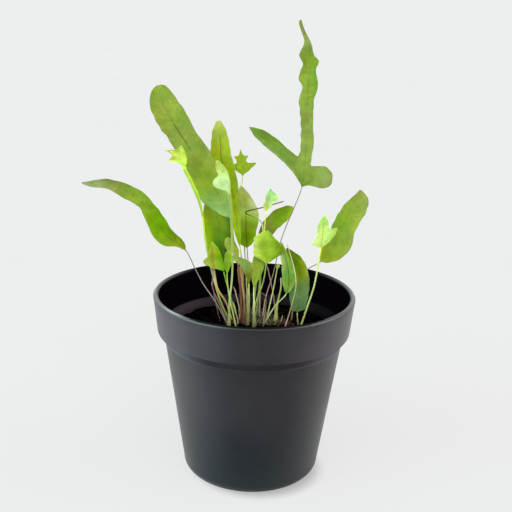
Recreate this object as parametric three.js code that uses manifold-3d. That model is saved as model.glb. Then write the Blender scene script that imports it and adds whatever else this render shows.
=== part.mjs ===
// Young golden polypody fern in a dark plastic pot.
// Millimetres, +Z up, origin at the centre of the pot's underside, front towards -Y.

import * as THREE from 'three';
import { mergeVertices } from 'three/addons/utils/BufferGeometryUtils.js';
import Module from 'manifold-3d';

const wasm = await Module();
wasm.setup();

// Driving dimensions of the pot
const potHeight = 132;
const rimRadius = 70;
const rimFootRadius = 67.1;
const bandBottom = 105.7;
const chamferBottom = 99.1;
const neckRadius = 62;
const baseRadius = 48.3;
const baseRound = 8.6;
const wallThickness = 3.6;
const floorThickness = 3;
const lipRound = 1.2;
const ledgeDrop = 24;
const ledgeFall = 1.4;
const ledgeInnerRadius = 58.4;
const potSides = 40;
const drainHoles = 6;
const drainRadius = 3.2;
const drainCircle = 28;
const drainSides = 10;

// Driving dimensions of the soil, the rhizome and the clearances
const clearance = 0.3;
const soilEdge = 103.5;
const moundHeight = 8;
const moundRadius = 50;
const moundCentreX = 6;
const soilRings = [0.22, 0.42, 0.62, 0.82];
const soilRoughness = 0.5;
const rhizomeRadius = 4;
const rhizomeSink = 1.4;
const rhizomeSides = 6;
const rhizomeEndDip = 5;
const footDepth = 8;
const holeSlack = 0.45;
const holeSides = 6;
const holeTop = 7;

// Driving dimensions shared by all fronds, and how finely shapes are divided
const bladeThickness = 0.8;
const ribRise = 0.3;
const stalkRadius = 0.65;
const stalkSteps = 7;
const ribSteps = 2;
const tubeSides = 8;
const columns = [-1, -0.5, 0, 0.5, 1];
const waveShift = 1.3;
const waveFullReach = 3;
const ribTaper = 0.7;
const roundSteps = 4;
const lipSteps = 2;
const lengthSamples = 240;
const weldDistance = 1e-4;
const cutMargin = 1;
const rightAngle = Math.PI / 2;

const finishes = {
  pot: { color: 0x3c3d41, roughness: 0.62 },
  soil: { color: 0x1d1815, roughness: 0.95 },
  rhizome: { color: 0x9a6a34, roughness: 0.9 },
  mid: { color: 0x8aa844, roughness: 0.55 },
  soft: { color: 0x86a862, roughness: 0.55 },
  olive: { color: 0x9aa62e, roughness: 0.55 },
  deep: { color: 0x6f9a2c, roughness: 0.55 },
  mint: { color: 0xb6e696, roughness: 0.55 },
  bright: { color: 0xc2e85c, roughness: 0.55 },
  blueGreen: { color: 0x62a862, roughness: 0.55 },
  young: { color: 0xa8bf62, roughness: 0.6 },
  brown: { color: 0x7d6853, roughness: 0.65 },
  pinkish: { color: 0x9a7a6e, roughness: 0.6 },
  dead: { color: 0xc2843f, roughness: 0.8 },
  twig: { color: 0x4f4636, roughness: 0.85 }
};

// Each frond grows from its foot on the soil, up its stalk, then along its blade's rib.
// foot is x and y. stalk and rib are points x, y, z. face is the way the upper side looks.
// A rung is its place along the rib from 0 to 1, the blade's reach to the left and to the
// right of the rib, and how far forward each end is swept.
const fronds = [
  {
    name: 'frond_strap_left',
    finish: 'mid',
    foot: [-9, 1],
    stalk: [[-10, 2, 132.5], [-12, 3, 150.5], [-15, 3.5, 168]],
    rib: [
      [-17.5, 4, 183], [-30, 8, 204.5], [-41.5, 13, 222], [-57, 21, 243], [-66, 27, 257.5],
      [-69, 32, 269]
    ],
    face: [0.35, -1, 0.3],
    rungs: [
      [0, 0.7, 0.7], [0.08, 7.6, 4.4], [0.2, 12.4, 8.4], [0.35, 11.6, 9.4], [0.5, 9.4, 10.7],
      [0.65, 9.1, 10.9], [0.8, 9.9, 10.7], [0.92, 8.3, 8.4], [0.98, 4.6, 4.4], [1, 1.4, 1.4]
    ],
    cup: 0.12,
    wave: 1.1,
    waves: 3
  },
  {
    name: 'frond_strap_low',
    finish: 'mid',
    stipe: 'pinkish',
    foot: [-18, -6],
    stalk: [[-26.5, -9, 127], [-34, -12, 141], [-41, -14, 153.5]],
    rib: [
      [-46.5, -16, 165.5], [-59, -19, 176], [-67.5, -22, 189.5], [-77.5, -25, 202], [-95, -30, 213],
      [-111.5, -34, 214]
    ],
    face: [-0.1, -1, 0.45],
    rungs: [
      [0, 0.7, 0.7], [0.08, 2, 4.2], [0.2, 5.9, 5.4], [0.35, 5.2, 6], [0.5, 3, 5.7],
      [0.65, 3.8, 4.4], [0.8, 2.9, 2.8], [0.92, 2.6, 1.4], [1, 0.5, 0.5]
    ],
    cup: 0.25,
    wave: 0.8,
    waves: 2.5
  },
  {
    name: 'frond_olive',
    finish: 'olive',
    foot: [-6.5, 6],
    stalk: [[-7.5, 7, 131], [-9, 8.5, 149.5]],
    rib: [
      [-11, 10, 162], [-14, 14, 183], [-18, 18, 203.5], [-25, 23, 220], [-26, 27, 231], [-28, 32, 245.5]
    ],
    face: [-0.25, -1, 0.3],
    rungs: [
      [0, 0.7, 0.7], [0.1, 1.2, 2], [0.22, 2, 3], [0.35, 3.6, 3.8], [0.5, 5, 5.4],
      [0.65, 7, 7.8], [0.8, 7, 6.5], [0.92, 5, 4.6], [1, 1, 1]
    ],
    cup: 0.15,
    wave: 0.5,
    waves: 2
  },
  {
    name: 'frond_broad_back',
    finish: 'deep',
    foot: [-12.5, 9],
    stalk: [[-18, 12, 127.5]],
    rib: [[-22, 14, 141.5], [-24.5, 18, 156.5], [-26, 22, 170], [-28, 26, 183.5], [-29.5, 30, 197]],
    face: [-0.4, -1, 0.25],
    rungs: [
      [0, 0.7, 0.7], [0.08, 4.2, 4.3], [0.2, 8.6, 8], [0.35, 10.7, 10.4], [0.5, 11.2, 11],
      [0.65, 10.9, 11], [0.8, 9.6, 9.6], [0.92, 6.2, 6.4], [1, 1.2, 1.2]
    ],
    cup: 0.12,
    wave: 0.8,
    waves: 2
  },
  {
    name: 'frond_centre_back',
    finish: 'deep',
    stipe: 'brown',
    foot: [-3, 10],
    stalk: [[-4, 11, 129.5], [-5, 12.5, 148.5]],
    rib: [[-6, 14, 159], [-7, 18, 170], [-7.5, 22, 182], [-9.5, 26, 192], [-11.5, 30, 200]],
    face: [0.35, -1, 0.25],
    rungs: [
      [0, 0.7, 0.7], [0.08, 4, 3.6], [0.2, 6.3, 6.2], [0.35, 7.4, 8.1], [0.5, 7.6, 9],
      [0.65, 7.2, 8.2], [0.8, 6, 6], [0.92, 3.2, 3.2], [1, 0.6, 0.6]
    ],
    cup: 0.12,
    wave: 0.5,
    waves: 2
  },
  {
    name: 'frond_right_centre',
    finish: 'mid',
    foot: [3.5, 9],
    stalk: [[4, 8.5, 129], [4, 8.5, 147]],
    rib: [[4.5, 9, 162.5], [8.5, 11, 174], [15, 15, 181.5], [25.5, 21, 188]],
    face: [0.3, -1, 0.4],
    rungs: [
      [0, 0.7, 0.7], [0.1, 3.4, 2.4], [0.22, 5.6, 3.8], [0.38, 6.2, 4.6], [0.55, 5.9, 5.2],
      [0.75, 5.2, 5.2], [0.9, 3.3, 3.6], [1, 0.8, 0.8]
    ],
    cup: 0.2,
    wave: 0.4,
    waves: 1.5
  },
  {
    name: 'frond_yellow_broad',
    finish: 'bright',
    foot: [-1, -3],
    stalk: [[1, -4.5, 125.5], [5.5, -6, 140.5]],
    rib: [[7.5, -8, 155], [8, -11, 164.5], [7.5, -13, 173.5], [7.5, -13, 180]],
    face: [-0.2, -1, 0.4],
    rungs: [
      [0, 0.7, 0.7], [0.08, 5, 2.4], [0.2, 8.6, 5.1], [0.35, 9.3, 8.6], [0.5, 9.2, 9],
      [0.65, 7.8, 8.2], [0.8, 5.3, 5.8], [0.92, 2.5, 3.1], [1, 0.5, 0.6]
    ],
    cup: -0.15,
    wave: 0.4,
    waves: 1.5
  },
  {
    name: 'frond_blue_right',
    finish: 'blueGreen',
    foot: [7, -8],
    stalk: [[15, -10, 126.5]],
    rib: [[21.5, -12, 135], [23, -14, 146], [22, -12, 155], [17.5, -5, 169.5]],
    face: [0.35, -1, 0.2],
    rungs: [
      [0, 0.6, 0.6], [0.1, 2.6, 2.4], [0.22, 4.3, 4.2], [0.35, 4.9, 4.5], [0.5, 4.8, 3.6],
      [0.65, 4.2, 2.6], [0.8, 3.2, 1.6], [0.92, 1.6, 1], [1, 0.5, 0.5]
    ],
    cup: 0.15,
    wave: 0.4,
    waves: 2
  },
  {
    name: 'frond_dark_right',
    finish: 'deep',
    foot: [31, -5],
    stalk: [],
    rib: [[30, -6, 119.5], [31, -6, 129], [31, -4, 139.5], [29, 0, 151.5], [21.5, 6, 162.5]],
    face: [0.4, -1, 0.2],
    rungs: [
      [0, 0.7, 0.7], [0.08, 5, 4.7], [0.2, 7.4, 6], [0.35, 8.4, 6.9], [0.5, 8.4, 6.9],
      [0.65, 7.6, 6.3], [0.8, 6, 5], [0.92, 3.8, 2.4], [1, 0.6, 0.6]
    ],
    cup: 0.12,
    wave: 0.4,
    waves: 2
  },
  {
    name: 'frond_strap_right',
    finish: 'mid',
    stipe: 'brown',
    foot: [26.5, 4],
    stalk: [[28, 5, 125], [31.5, 7, 141.5], [38, 8, 148]],
    rib: [[45, 9, 152], [54.5, 12, 163], [60.5, 16, 176.5], [66, 22, 187.5], [73, 30, 199.5]],
    face: [-0.3, -1, 0.4],
    rungs: [
      [0, 0.7, 0.7], [0.08, 4.6, 5.3], [0.2, 6.9, 9.4], [0.35, 7, 10.6], [0.5, 6.9, 9.2],
      [0.62, 6.7, 8.6], [0.75, 5.6, 11], [0.9, 3.2, 9.4], [0.97, 1.8, 5], [1, 0.7, 1.2]
    ],
    cup: 0.12,
    wave: 0.8,
    waves: 2.5
  },
  {
    name: 'frond_low_narrow',
    finish: 'bright',
    foot: [-12, -12],
    stalk: [[-16, -10, 122], [-18.5, -8.5, 134.5]],
    rib: [[-20, -8, 145], [-19, -8.5, 154], [-18, -9.5, 163]],
    face: [0, -1, 0.2],
    rungs: [
      [0, 0.5, 0.5], [0.2, 1.2, 1.2], [0.45, 2, 1.8], [0.7, 2, 1.7], [0.88, 1.2, 1.2], [1, 0.4, 0.4]
    ],
    cup: 0.2,
    wave: 0,
    waves: 1
  },
  {
    name: 'frond_hanging_grey',
    finish: 'soft',
    foot: [-4, -9],
    stalk: [[-3.5, -10, 126]],
    rib: [[-4, -11, 141.5], [-4.5, -13, 149], [-7, -15, 155.5], [-13.5, -18, 163]],
    face: [0, -1, 0.3],
    rungs: [
      [0, 0.6, 0.6], [0.15, 1.4, 1.4], [0.35, 2.2, 3.2], [0.55, 2.6, 4.4], [0.75, 2.2, 2.8],
      [0.9, 1.2, 1.4], [1, 0.4, 0.4]
    ],
    cup: 0.2,
    wave: 0,
    waves: 1
  },
  {
    name: 'frond_hanging_olive',
    finish: 'olive',
    foot: [0.5, -12],
    stalk: [[0, -11, 126.5]],
    rib: [[-0.5, -9, 138.5], [0.5, -7, 146.5], [2.5, -4, 155], [3.5, -1, 164]],
    face: [0, -1, 0.1],
    rungs: [
      [0, 0.6, 0.6], [0.15, 1.5, 2], [0.35, 2.6, 3.4], [0.6, 3.6, 4], [0.8, 3, 3], [0.93, 1.6, 1.6],
      [1, 0.5, 0.5]
    ],
    cup: 0.15,
    wave: 0,
    waves: 1
  },
  {
    name: 'frond_grey_small',
    finish: 'soft',
    foot: [-8, -1],
    stalk: [[-9.5, -1.5, 133.5]],
    rib: [[-12, -2, 154], [-14, -3, 161.5], [-17, -4.5, 167.5], [-20, -6, 172]],
    face: [0, -1, 0.3],
    rungs: [
      [0, 0.6, 0.6], [0.15, 1.9, 1.4], [0.4, 3.7, 2.8], [0.65, 4.4, 3.4], [0.85, 3.6, 2.8],
      [0.96, 2, 1.6], [1, 0.8, 0.8]
    ],
    cup: 0.2,
    wave: 0,
    waves: 1
  },
  {
    name: 'frond_bud',
    finish: 'bright',
    foot: [8.5, -3],
    stalk: [[11.5, -3.5, 127.5], [13.5, -3.5, 138.5]],
    rib: [[15, -3.5, 149.5], [16, -3.5, 154]],
    face: [0, -1, 0.2],
    rungs: [[0, 0.5, 0.5], [0.3, 1.4, 1.1], [0.7, 1.2, 1.3], [1, 0.4, 0.4]],
    cup: 0,
    wave: 0,
    waves: 1
  },
  {
    name: 'frond_star',
    finish: 'olive',
    foot: [-5, 14],
    stalk: [[-5.5, 17, 127.5], [-9, 28, 168.5], [-11.5, 36, 196], [-11, 38, 200.5]],
    rib: [[-10.5, 39, 205.5], [-11, 40, 211], [-12, 42, 218], [-12.5, 44, 223.5]],
    face: [0, -1, 0.3],
    lobed: true,
    rungs: [
      [0, 0.6, 0.6, 0, 0], [0.16, 3.6, 4.4, 2.4, 0.6], [0.32, 6.2, 9.8, 3.4, 2.5],
      [0.46, 2.8, 3.6, 2, 0.8], [0.61, 3.4, 4.7, 3.8, 2.6], [0.74, 1.8, 1.9, 0.9, 0.8],
      [1, 0.3, 0.3, 0, 0]
    ],
    cup: 0.1,
    wave: 0,
    waves: 1
  },
  {
    name: 'frond_mint_front',
    finish: 'mint',
    foot: [-17, -11],
    stalk: [
      [-17.5, -13.5, 130.5], [-17.5, -14.5, 143.5], [-15.5, -16, 158.5], [-16, -18, 181],
      [-17, -20, 198.5]
    ],
    rib: [[-18, -21, 207], [-20.5, -22, 215.5], [-23.5, -24, 222.5], [-26, -26, 229]],
    face: [0, -1, 0.3],
    lobed: true,
    rungs: [
      [0, 0.6, 0.6, 0, 0], [0.12, 6, 1.5, 1.7, -0.6], [0.27, 8.7, 2.4, 2, -0.5],
      [0.42, 6.6, 2.9, 2.9, 0], [0.53, 3.5, 3.3, 1.5, 0], [0.71, 2.6, 3.4, 1, -0.6],
      [0.86, 2.3, 2.6, 0.6, -0.4], [1, 0.8, 0.8, 0, 0]
    ],
    cup: 0.15,
    wave: 0,
    waves: 1
  },
  {
    name: 'frond_bright_left',
    finish: 'bright',
    foot: [-17.5, 3],
    stalk: [
      [-24, 3, 124.5], [-31, 2, 150], [-34.5, 0, 168.5], [-36.5, -2, 186.5], [-39, -4, 198],
      [-43, -5, 208]
    ],
    rib: [[-48.5, -7, 220.5], [-48.5, -9, 227], [-50, -12, 235.5]],
    face: [-0.3, -1, 0.3],
    lobed: true,
    rungs: [
      [0, 0.6, 0.6, 0, 0], [0.17, 4.2, 0.9, -0.4, 0.4], [0.31, 10.2, 1.1, 0, 0.4],
      [0.45, 7, 1.3, 1.8, 0.4], [0.58, 7, 1.5, 2, 0.3], [0.69, 9.8, 1.5, 4.3, 0.1],
      [0.8, 3.6, 1.3, 0.4, 0], [1, 0.4, 0.4, 0, 0]
    ],
    cup: 0.15,
    wave: 0,
    waves: 1
  },
  {
    name: 'frond_mint_small',
    finish: 'mint',
    foot: [1.5, 4],
    stalk: [[3, 3, 132.5], [4.5, 1.5, 155], [5.5, -1, 173.5]],
    rib: [[6.5, -4, 190.5], [8, -7, 198], [9, -11, 208.5]],
    face: [0.2, -1, 0.3],
    lobed: true,
    rungs: [
      [0, 0.5, 0.5, 0, 0], [0.13, 2.4, 1.5, -0.3, 0.4], [0.34, 3.1, 2.9, 0.1, 0.8],
      [0.51, 2.9, 5.6, 0.4, 1.1], [0.64, 2.8, 6.1, 0.4, 1.3], [0.76, 2.4, 3.6, 0.5, 1.1],
      [0.89, 1.6, 1.5, 0.2, 0.5], [1, 0.3, 0.3, 0, 0]
    ],
    cup: 0.2,
    wave: 0,
    waves: 1
  },
  {
    name: 'frond_low_lobed',
    finish: 'bright',
    stipe: 'pinkish',
    foot: [-18.5, -1],
    stalk: [[-25, -3, 125.5], [-29, -4, 136]],
    rib: [[-28.5, -5, 149], [-29, -6.5, 159.5], [-29.5, -8.5, 170]],
    face: [0, -1, 0.2],
    lobed: true,
    rungs: [
      [0, 0.6, 0.6, 0, 0], [0.08, 3, 4.2, 0.8, -2], [0.16, 6.2, 7.4, 1.6, -3.6],
      [0.26, 6.6, 8, 2.3, -3], [0.39, 4.1, 6.4, 1.5, -0.5], [0.5, 2.9, 5.9, 0.1, 1.6],
      [0.7, 2.4, 4.2, 0.2, 1.6], [0.88, 1.4, 1.8, 0.1, 0.6], [1, 0.4, 0.4, 0, 0]
    ],
    cup: 0.15,
    wave: 0,
    waves: 1
  },
  {
    name: 'frond_bright_right',
    finish: 'bright',
    foot: [32, -10],
    stalk: [[37, -11.5, 128], [40.5, -13, 142.5], [42.5, -15, 159.5]],
    rib: [[43.5, -16, 169], [44, -18, 179.5], [44.5, -22, 194]],
    face: [0.25, -1, 0.3],
    lobed: true,
    rungs: [
      [0, 0.6, 0.6, 0, 0], [0.06, 3.5, 3.3, -0.4, 1.2], [0.12, 7.2, 6.1, 1, 3.6],
      [0.21, 5.8, 8.8, 1.9, 6.4], [0.29, 5.1, 9.3, 2.8, 8.2], [0.41, 4.6, 4.4, 2.6, 4.6],
      [0.62, 4.2, 3.6, 1.9, 2.6], [0.82, 2.9, 2.4, 1.2, 1.4], [1, 0.4, 0.4, 0, 0]
    ],
    cup: 0.15,
    wave: 0,
    waves: 1
  },
  {
    name: 'frond_tall_lobed',
    finish: 'mid',
    stipe: 'brown',
    foot: [6, 1],
    stalk: [[8, 2, 128], [12.5, 2.5, 144], [17, 3, 167.5], [20.5, 3, 179], [26, 2, 194]],
    rib: [
      [30, 0, 207], [31, -2, 223], [32, -5, 243.5], [31, -10, 270], [31.5, -14, 289.5], [29, -18, 304],
      [24, -22, 317.5]
    ],
    face: [0.2, -1, 0.3],
    lobed: true,
    rungs: [
      [0, 0.6, 0.6, 0, 0], [0.014, 3.8, 7.2, 3.4, -0.4], [0.03, 9, 12, 9.2, -2],
      [0.047, 17, 16.2, 15.2, -3.6], [0.062, 26, 19.4, 21.4, -3.4], [0.08, 33.4, 20.4, 26.4, -0.8],
      [0.095, 38.4, 19.2, 31.6, 1.4], [0.11, 31.6, 15.4, 27.6, 3.1], [0.127, 22.6, 9.6, 20.8, 1.8],
      [0.144, 14.6, 5.8, 12.4, 0], [0.16, 7.4, 4.7, 5, 0.3], [0.18, 4.4, 4.7, 1.4, 0.3],
      [0.21, 3.4, 4.7, 0.8, 0.3], [0.29, 3.6, 4.5, 0, 0.4],
      [0.38, 3.8, 4.3, 0, 0], [0.48, 4.5, 3.8, 0, 0], [0.55, 5.3, 4, 0, 0], [0.6, 3.7, 5.7, 0, 0],
      [0.66, 6.4, 5.8, 0, 0], [0.71, 5.2, 4, 0, 0], [0.75, 4.6, 5.6, 0, 0], [0.79, 5.6, 3.6, 0, 0],
      [0.85, 2.7, 2.6, 0, 0], [0.89, 1.6, 1.9, 0, 0], [0.95, 2, 1.2, 0, 0], [1, 0.4, 0.4, 0, 0]
    ],
    cup: 0.12,
    wave: 0,
    waves: 1
  }
];

// Stalks with no blade: dead ones, a dry one bent back on itself, a broken one and a coiled tip
const bareStalks = [
  {
    name: 'stalk_dry_bent',
    finish: 'twig',
    radius: 0.6,
    steps: 14,
    foot: [-1.5, 5],
    path: [
      [2, 3.5, 147], [4, 1.5, 180.5], [0, 1, 185], [-5.5, 1, 187], [-8, 0.5, 188.5], [-6, 1, 189.5],
      [3.5, 1.5, 192], [18.5, 3, 196.5]
    ]
  },
  {
    name: 'stalk_dead_front',
    finish: 'dead',
    radius: 1,
    steps: 6,
    foot: [-7, -4],
    path: [[-7.5, -4.5, 128], [-10, -5, 141.5], [-12, -5.5, 152.5]]
  },
  {
    name: 'stalk_dead_back',
    finish: 'dead',
    radius: 0.8,
    steps: 6,
    foot: [-5, 1],
    path: [[-6, 1, 124], [-7.5, 1.5, 134], [-10, 2, 149.5]]
  },
  {
    name: 'stalk_dead_yellow',
    finish: 'young',
    radius: 0.7,
    steps: 7,
    foot: [-15, -3],
    path: [[-19.5, -1.5, 124], [-26, -1, 135], [-28.5, 0, 148.5]]
  },
  {
    name: 'stalk_bare_right',
    finish: 'young',
    radius: 0.6,
    steps: 10,
    foot: [21.5, -12],
    path: [[25, -13.5, 125], [28, -15, 143], [26.5, -15, 153.5], [21, -13, 171]]
  },
  {
    name: 'stalk_broken',
    finish: 'young',
    radius: 0.9,
    steps: 4,
    foot: [15, -4],
    path: [[15.5, -4, 128], [17.5, -3.5, 144]]
  },
  {
    name: 'stalk_back',
    finish: 'pinkish',
    radius: 0.6,
    steps: 5,
    foot: [15.5, 6],
    path: [[13.5, 6, 127], [8.5, 6, 149]]
  },
  {
    name: 'crozier',
    finish: 'young',
    radius: 0.7,
    steps: 11,
    foot: [6.5, -12],
    path: [[7.5, -12.5, 128.5], [6, -13, 135], [3.5, -13.5, 137], [2, -13.5, 135], [3, -13.5, 133.5]]
  }
];

// Creeping branches of the rhizome, x and y on the soil
const rhizomeBranches = [
  [[-20, -4], [-9, -1], [2, 0], [12, -2], [22, -4], [33, -6]],
  [[-4, 0], [-3, 8], [-7, 16]],
  [[7, -1], [9, 8], [16, 13]]
];

// Height of the soil's surface
function soilTop(x, y) {
  const fall = ((x - moundCentreX) / moundRadius) ** 2 + (y / moundRadius) ** 2;
  return soilEdge + moundHeight * Math.max(0, 1 - fall);
}

// Small even draw between 0 and 1 for a numbered place
function draw(number) {
  const value = Math.sin(number * 12.9898 + 78.233) * 43758.5453;
  return value - Math.floor(value);
}

function vector(point) {
  return new THREE.Vector3(point[0], point[1], point[2]);
}

// Closed geometry with shared vertices and no zero-area faces
function welded(geometry) {
  geometry.deleteAttribute('normal');
  geometry.deleteAttribute('uv');
  const merged = mergeVertices(geometry, weldDistance);
  const source = merged.getIndex().array;
  const kept = [];
  for (let i = 0; i < source.length; i += 3) {
    const [a, b, c] = [source[i], source[i + 1], source[i + 2]];
    if (a !== b && b !== c && c !== a) {
      kept.push(a, b, c);
    }
  }
  merged.setIndex(kept);
  return merged;
}

function toSolid(geometry) {
  const merged = welded(geometry);
  return new wasm.Manifold(new wasm.Mesh({
    numProp: 3,
    vertProperties: new Float32Array(merged.getAttribute('position').array),
    triVerts: new Uint32Array(merged.getIndex().array)
  }));
}

function toGeometry(solid) {
  const mesh = solid.getMesh();
  const geometry = new THREE.BufferGeometry();
  const corners = new Float32Array(mesh.vertProperties);
  geometry.setAttribute('position', new THREE.BufferAttribute(corners, 3));
  geometry.setIndex(new THREE.BufferAttribute(new Uint32Array(mesh.triVerts), 1));
  return geometry;
}

function largestBody(solid) {
  const bodies = solid.decompose();
  return bodies.reduce((best, body) => (body.volume() > best.volume() ? body : best));
}

function makeMesh(name, geometry, finish) {
  const material = new THREE.MeshStandardMaterial({ ...finishes[finish], metalness: 0 });
  const mesh = new THREE.Mesh(geometry, material);
  mesh.name = name;
  return mesh;
}

// Lathe turned so that its axis is Z
function turned(profile) {
  const points = profile.map(([radius, z]) => new THREE.Vector2(radius, z));
  const geometry = new THREE.LatheGeometry(points, potSides);
  geometry.rotateX(rightAngle);
  return geometry;
}

// Stretch of a curve between two of its places, as a curve of its own
class Stretch extends THREE.Curve {
  constructor(curve, start, end) {
    super();
    this.curve = curve;
    this.start = start;
    this.end = end;
  }

  getPoint(t, target = new THREE.Vector3()) {
    return this.curve.getPoint(this.start + (this.end - this.start) * t, target);
  }
}

function tube(curve, radius, steps, sides) {
  const section = new THREE.Shape();
  for (let i = 0; i < sides; i += 1) {
    const angle = (i / sides) * Math.PI * 2;
    const place = [radius * Math.cos(angle), radius * Math.sin(angle)];
    if (i === 0) {
      section.moveTo(...place);
    } else {
      section.lineTo(...place);
    }
  }
  section.closePath();
  return new THREE.ExtrudeGeometry(section, { steps, extrudePath: curve, curveSegments: 1 });
}

// Whole course of a stalk: from its end under the soil through its foot and on
function course(foot, points) {
  const surface = new THREE.Vector3(foot[0], foot[1], soilTop(foot[0], foot[1]));
  const rest = points.map(vector);
  const rise = rest[0].clone().sub(surface).normalize();
  const buried = surface.clone().addScaledVector(rise, -footDepth);
  return new THREE.CatmullRomCurve3([buried, surface, ...rest], false, 'centripetal');
}

// Table that turns a length along a curve into the curve's own place, and back
function lengthTable(curve) {
  const lengths = curve.getLengths(lengthSamples);
  const atLength = (wanted) => {
    let i = 1;
    while (i < lengthSamples && lengths[i] < wanted) {
      i += 1;
    }
    const share = (wanted - lengths[i - 1]) / (lengths[i] - lengths[i - 1]);
    return THREE.MathUtils.clamp((i - 1 + share) / lengthSamples, 0, 1);
  };
  const lengthOf = (place) => {
    const step = place * lengthSamples;
    const i = Math.min(Math.floor(step), lengthSamples - 1);
    return lengths[i] + (lengths[i + 1] - lengths[i]) * (step - i);
  };
  return { atLength, lengthOf, total: lengths[lengthSamples] };
}

// Point on a curve with the directions along it, across it and out of its face
function station(curve, place, face) {
  const along = curve.getTangent(place).normalize();
  const across = new THREE.Vector3().crossVectors(along, face).normalize();
  const out = new THREE.Vector3().crossVectors(across, along).normalize();
  return { centre: curve.getPoint(place), along, across, out };
}

// Round section of a stalk as the two rows of a blade's section
function stalkRows(spot, radius) {
  const top = [];
  const bottom = [];
  columns.forEach((column, i) => {
    const angle = Math.PI * (1 - i / (columns.length - 1));
    const side = spot.across.clone().multiplyScalar(radius * Math.cos(angle));
    const lift = spot.out.clone().multiplyScalar(radius * Math.sin(angle));
    top.push(spot.centre.clone().add(side).add(lift));
    bottom.push(spot.centre.clone().add(side).sub(lift));
  });
  return { top, bottom };
}

// Section of a blade: reach on each side, cupped and waved towards its edges, thicker at the rib
function bladeRows(spot, rung, frond) {
  const [place, left, right, sweepLeft, sweepRight] = rung;
  const top = [];
  const bottom = [];
  for (const column of columns) {
    const share = Math.abs(column);
    const reach = column < 0 ? left : right;
    const sweep = column < 0 ? sweepLeft : sweepRight;
    const phase = column < 0 ? 0 : waveShift;
    const turn = Math.PI * 2 * frond.waves * place + phase;
    const fade = Math.min(1, reach / waveFullReach);
    const lift = share * share * (frond.cup * reach + frond.wave * fade * Math.sin(turn));
    const half = bladeThickness / 2 + (column === 0 ? ribRise * (1 - place * ribTaper) : 0);
    const point = spot.centre.clone();
    point.addScaledVector(spot.across, column * reach);
    point.addScaledVector(spot.along, share * sweep);
    point.addScaledVector(spot.out, lift);
    top.push(point.clone().addScaledVector(spot.out, half));
    bottom.push(point.clone().addScaledVector(spot.out, -half));
  }
  return { top, bottom };
}

// Skin over a row of sections, with the same triangles on both faces
function skin(sections) {
  const positions = [];
  const triangle = (a, b, c) => {
    for (const corner of [a, b, c]) {
      positions.push(corner.x, corner.y, corner.z);
    }
  };
  const face = (a, b, c, d, slanted) => {
    if (slanted) {
      triangle(a, b, c);
      triangle(a, c, d);
    } else {
      triangle(a, b, d);
      triangle(b, c, d);
    }
  };
  const faceBack = (a, b, c, d, slanted) => {
    if (slanted) {
      triangle(a, c, b);
      triangle(a, d, c);
    } else {
      triangle(a, d, b);
      triangle(b, d, c);
    }
  };
  const last = columns.length - 1;
  for (let i = 0; i + 1 < sections.length; i += 1) {
    const [near, far] = [sections[i], sections[i + 1]];
    for (let k = 0; k < last; k += 1) {
      const slanted = k < last / 2;
      face(near.top[k], near.top[k + 1], far.top[k + 1], far.top[k], slanted);
      faceBack(near.bottom[k], near.bottom[k + 1], far.bottom[k + 1], far.bottom[k], slanted);
    }
    face(near.top[0], far.top[0], far.bottom[0], near.bottom[0], true);
    faceBack(near.top[last], far.top[last], far.bottom[last], near.bottom[last], true);
  }
  const [start, end] = [sections[0], sections[sections.length - 1]];
  for (let k = 0; k < last; k += 1) {
    face(start.top[k + 1], start.top[k], start.bottom[k], start.bottom[k + 1], true);
    face(end.top[k], end.top[k + 1], end.bottom[k + 1], end.bottom[k], true);
  }
  const geometry = new THREE.BufferGeometry();
  geometry.setAttribute('position', new THREE.Float32BufferAttribute(positions, 3));
  return welded(geometry);
}

// Smooth value between the second and third of four
function smooth(before, from, to, after, t) {
  const a = 2 * from;
  const b = to - before;
  const c = 2 * before - 5 * from + 4 * to - after;
  const d = 3 * from - before - 3 * to + after;
  return 0.5 * (a + b * t + c * t * t + d * t * t * t);
}

// Rungs with extra ones between them, where the blade's edge is a smooth line
function filledRungs(frond) {
  const given = frond.rungs.map((rung) => [rung[0], rung[1], rung[2], rung[3] ?? 0, rung[4] ?? 0]);
  const steps = frond.lobed ? 1 : ribSteps;
  const filled = [];
  for (let i = 0; i + 1 < given.length; i += 1) {
    const [from, to] = [given[i], given[i + 1]];
    const before = given[i - 1] ?? from;
    const after = given[i + 2] ?? to;
    for (let step = 0; step < steps; step += 1) {
      const t = step / steps;
      const rung = from.map((value, k) => smooth(before[k], value, to[k], after[k], t));
      rung[0] = THREE.MathUtils.lerp(from[0], to[0], t);
      filled.push(rung);
    }
  }
  filled.push(given[given.length - 1]);
  return filled;
}

// One frond: its blade with its stalk, or with a stalk of another colour as a piece of its own
function makeFrond(frond) {
  const curve = course(frond.foot, [...frond.stalk, ...frond.rib]);
  const table = lengthTable(curve);
  const pointsBefore = 2 + frond.stalk.length;
  const baseLength = table.lengthOf(pointsBefore / (curve.points.length - 1));
  const face = vector(frond.face).normalize();
  const sections = [];
  const pieces = [];
  if (frond.stipe) {
    const end = table.atLength(baseLength - clearance);
    const stalk = tube(new Stretch(curve, 0, end), stalkRadius, stalkSteps, tubeSides);
    pieces.push(makeMesh(frond.name.replace('frond', 'stipe'), welded(stalk), frond.stipe));
  } else {
    for (let i = 0; i < stalkSteps; i += 1) {
      const place = table.atLength((baseLength * i) / stalkSteps);
      sections.push(stalkRows(station(curve, place, face), stalkRadius));
    }
  }
  filledRungs(frond).forEach((rung, i) => {
    const place = table.atLength(baseLength + (table.total - baseLength) * rung[0]);
    const spot = station(curve, place, face);
    sections.push(i === 0 ? stalkRows(spot, stalkRadius) : bladeRows(spot, rung, frond));
  });
  pieces.unshift(makeMesh(frond.name, skin(sections), frond.finish));
  return pieces;
}

function makeBareStalk(stalk) {
  const curve = course(stalk.foot, stalk.path);
  const geometry = welded(tube(curve, stalk.radius, stalk.steps, tubeSides));
  return makeMesh(stalk.name, geometry, stalk.finish);
}

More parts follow.
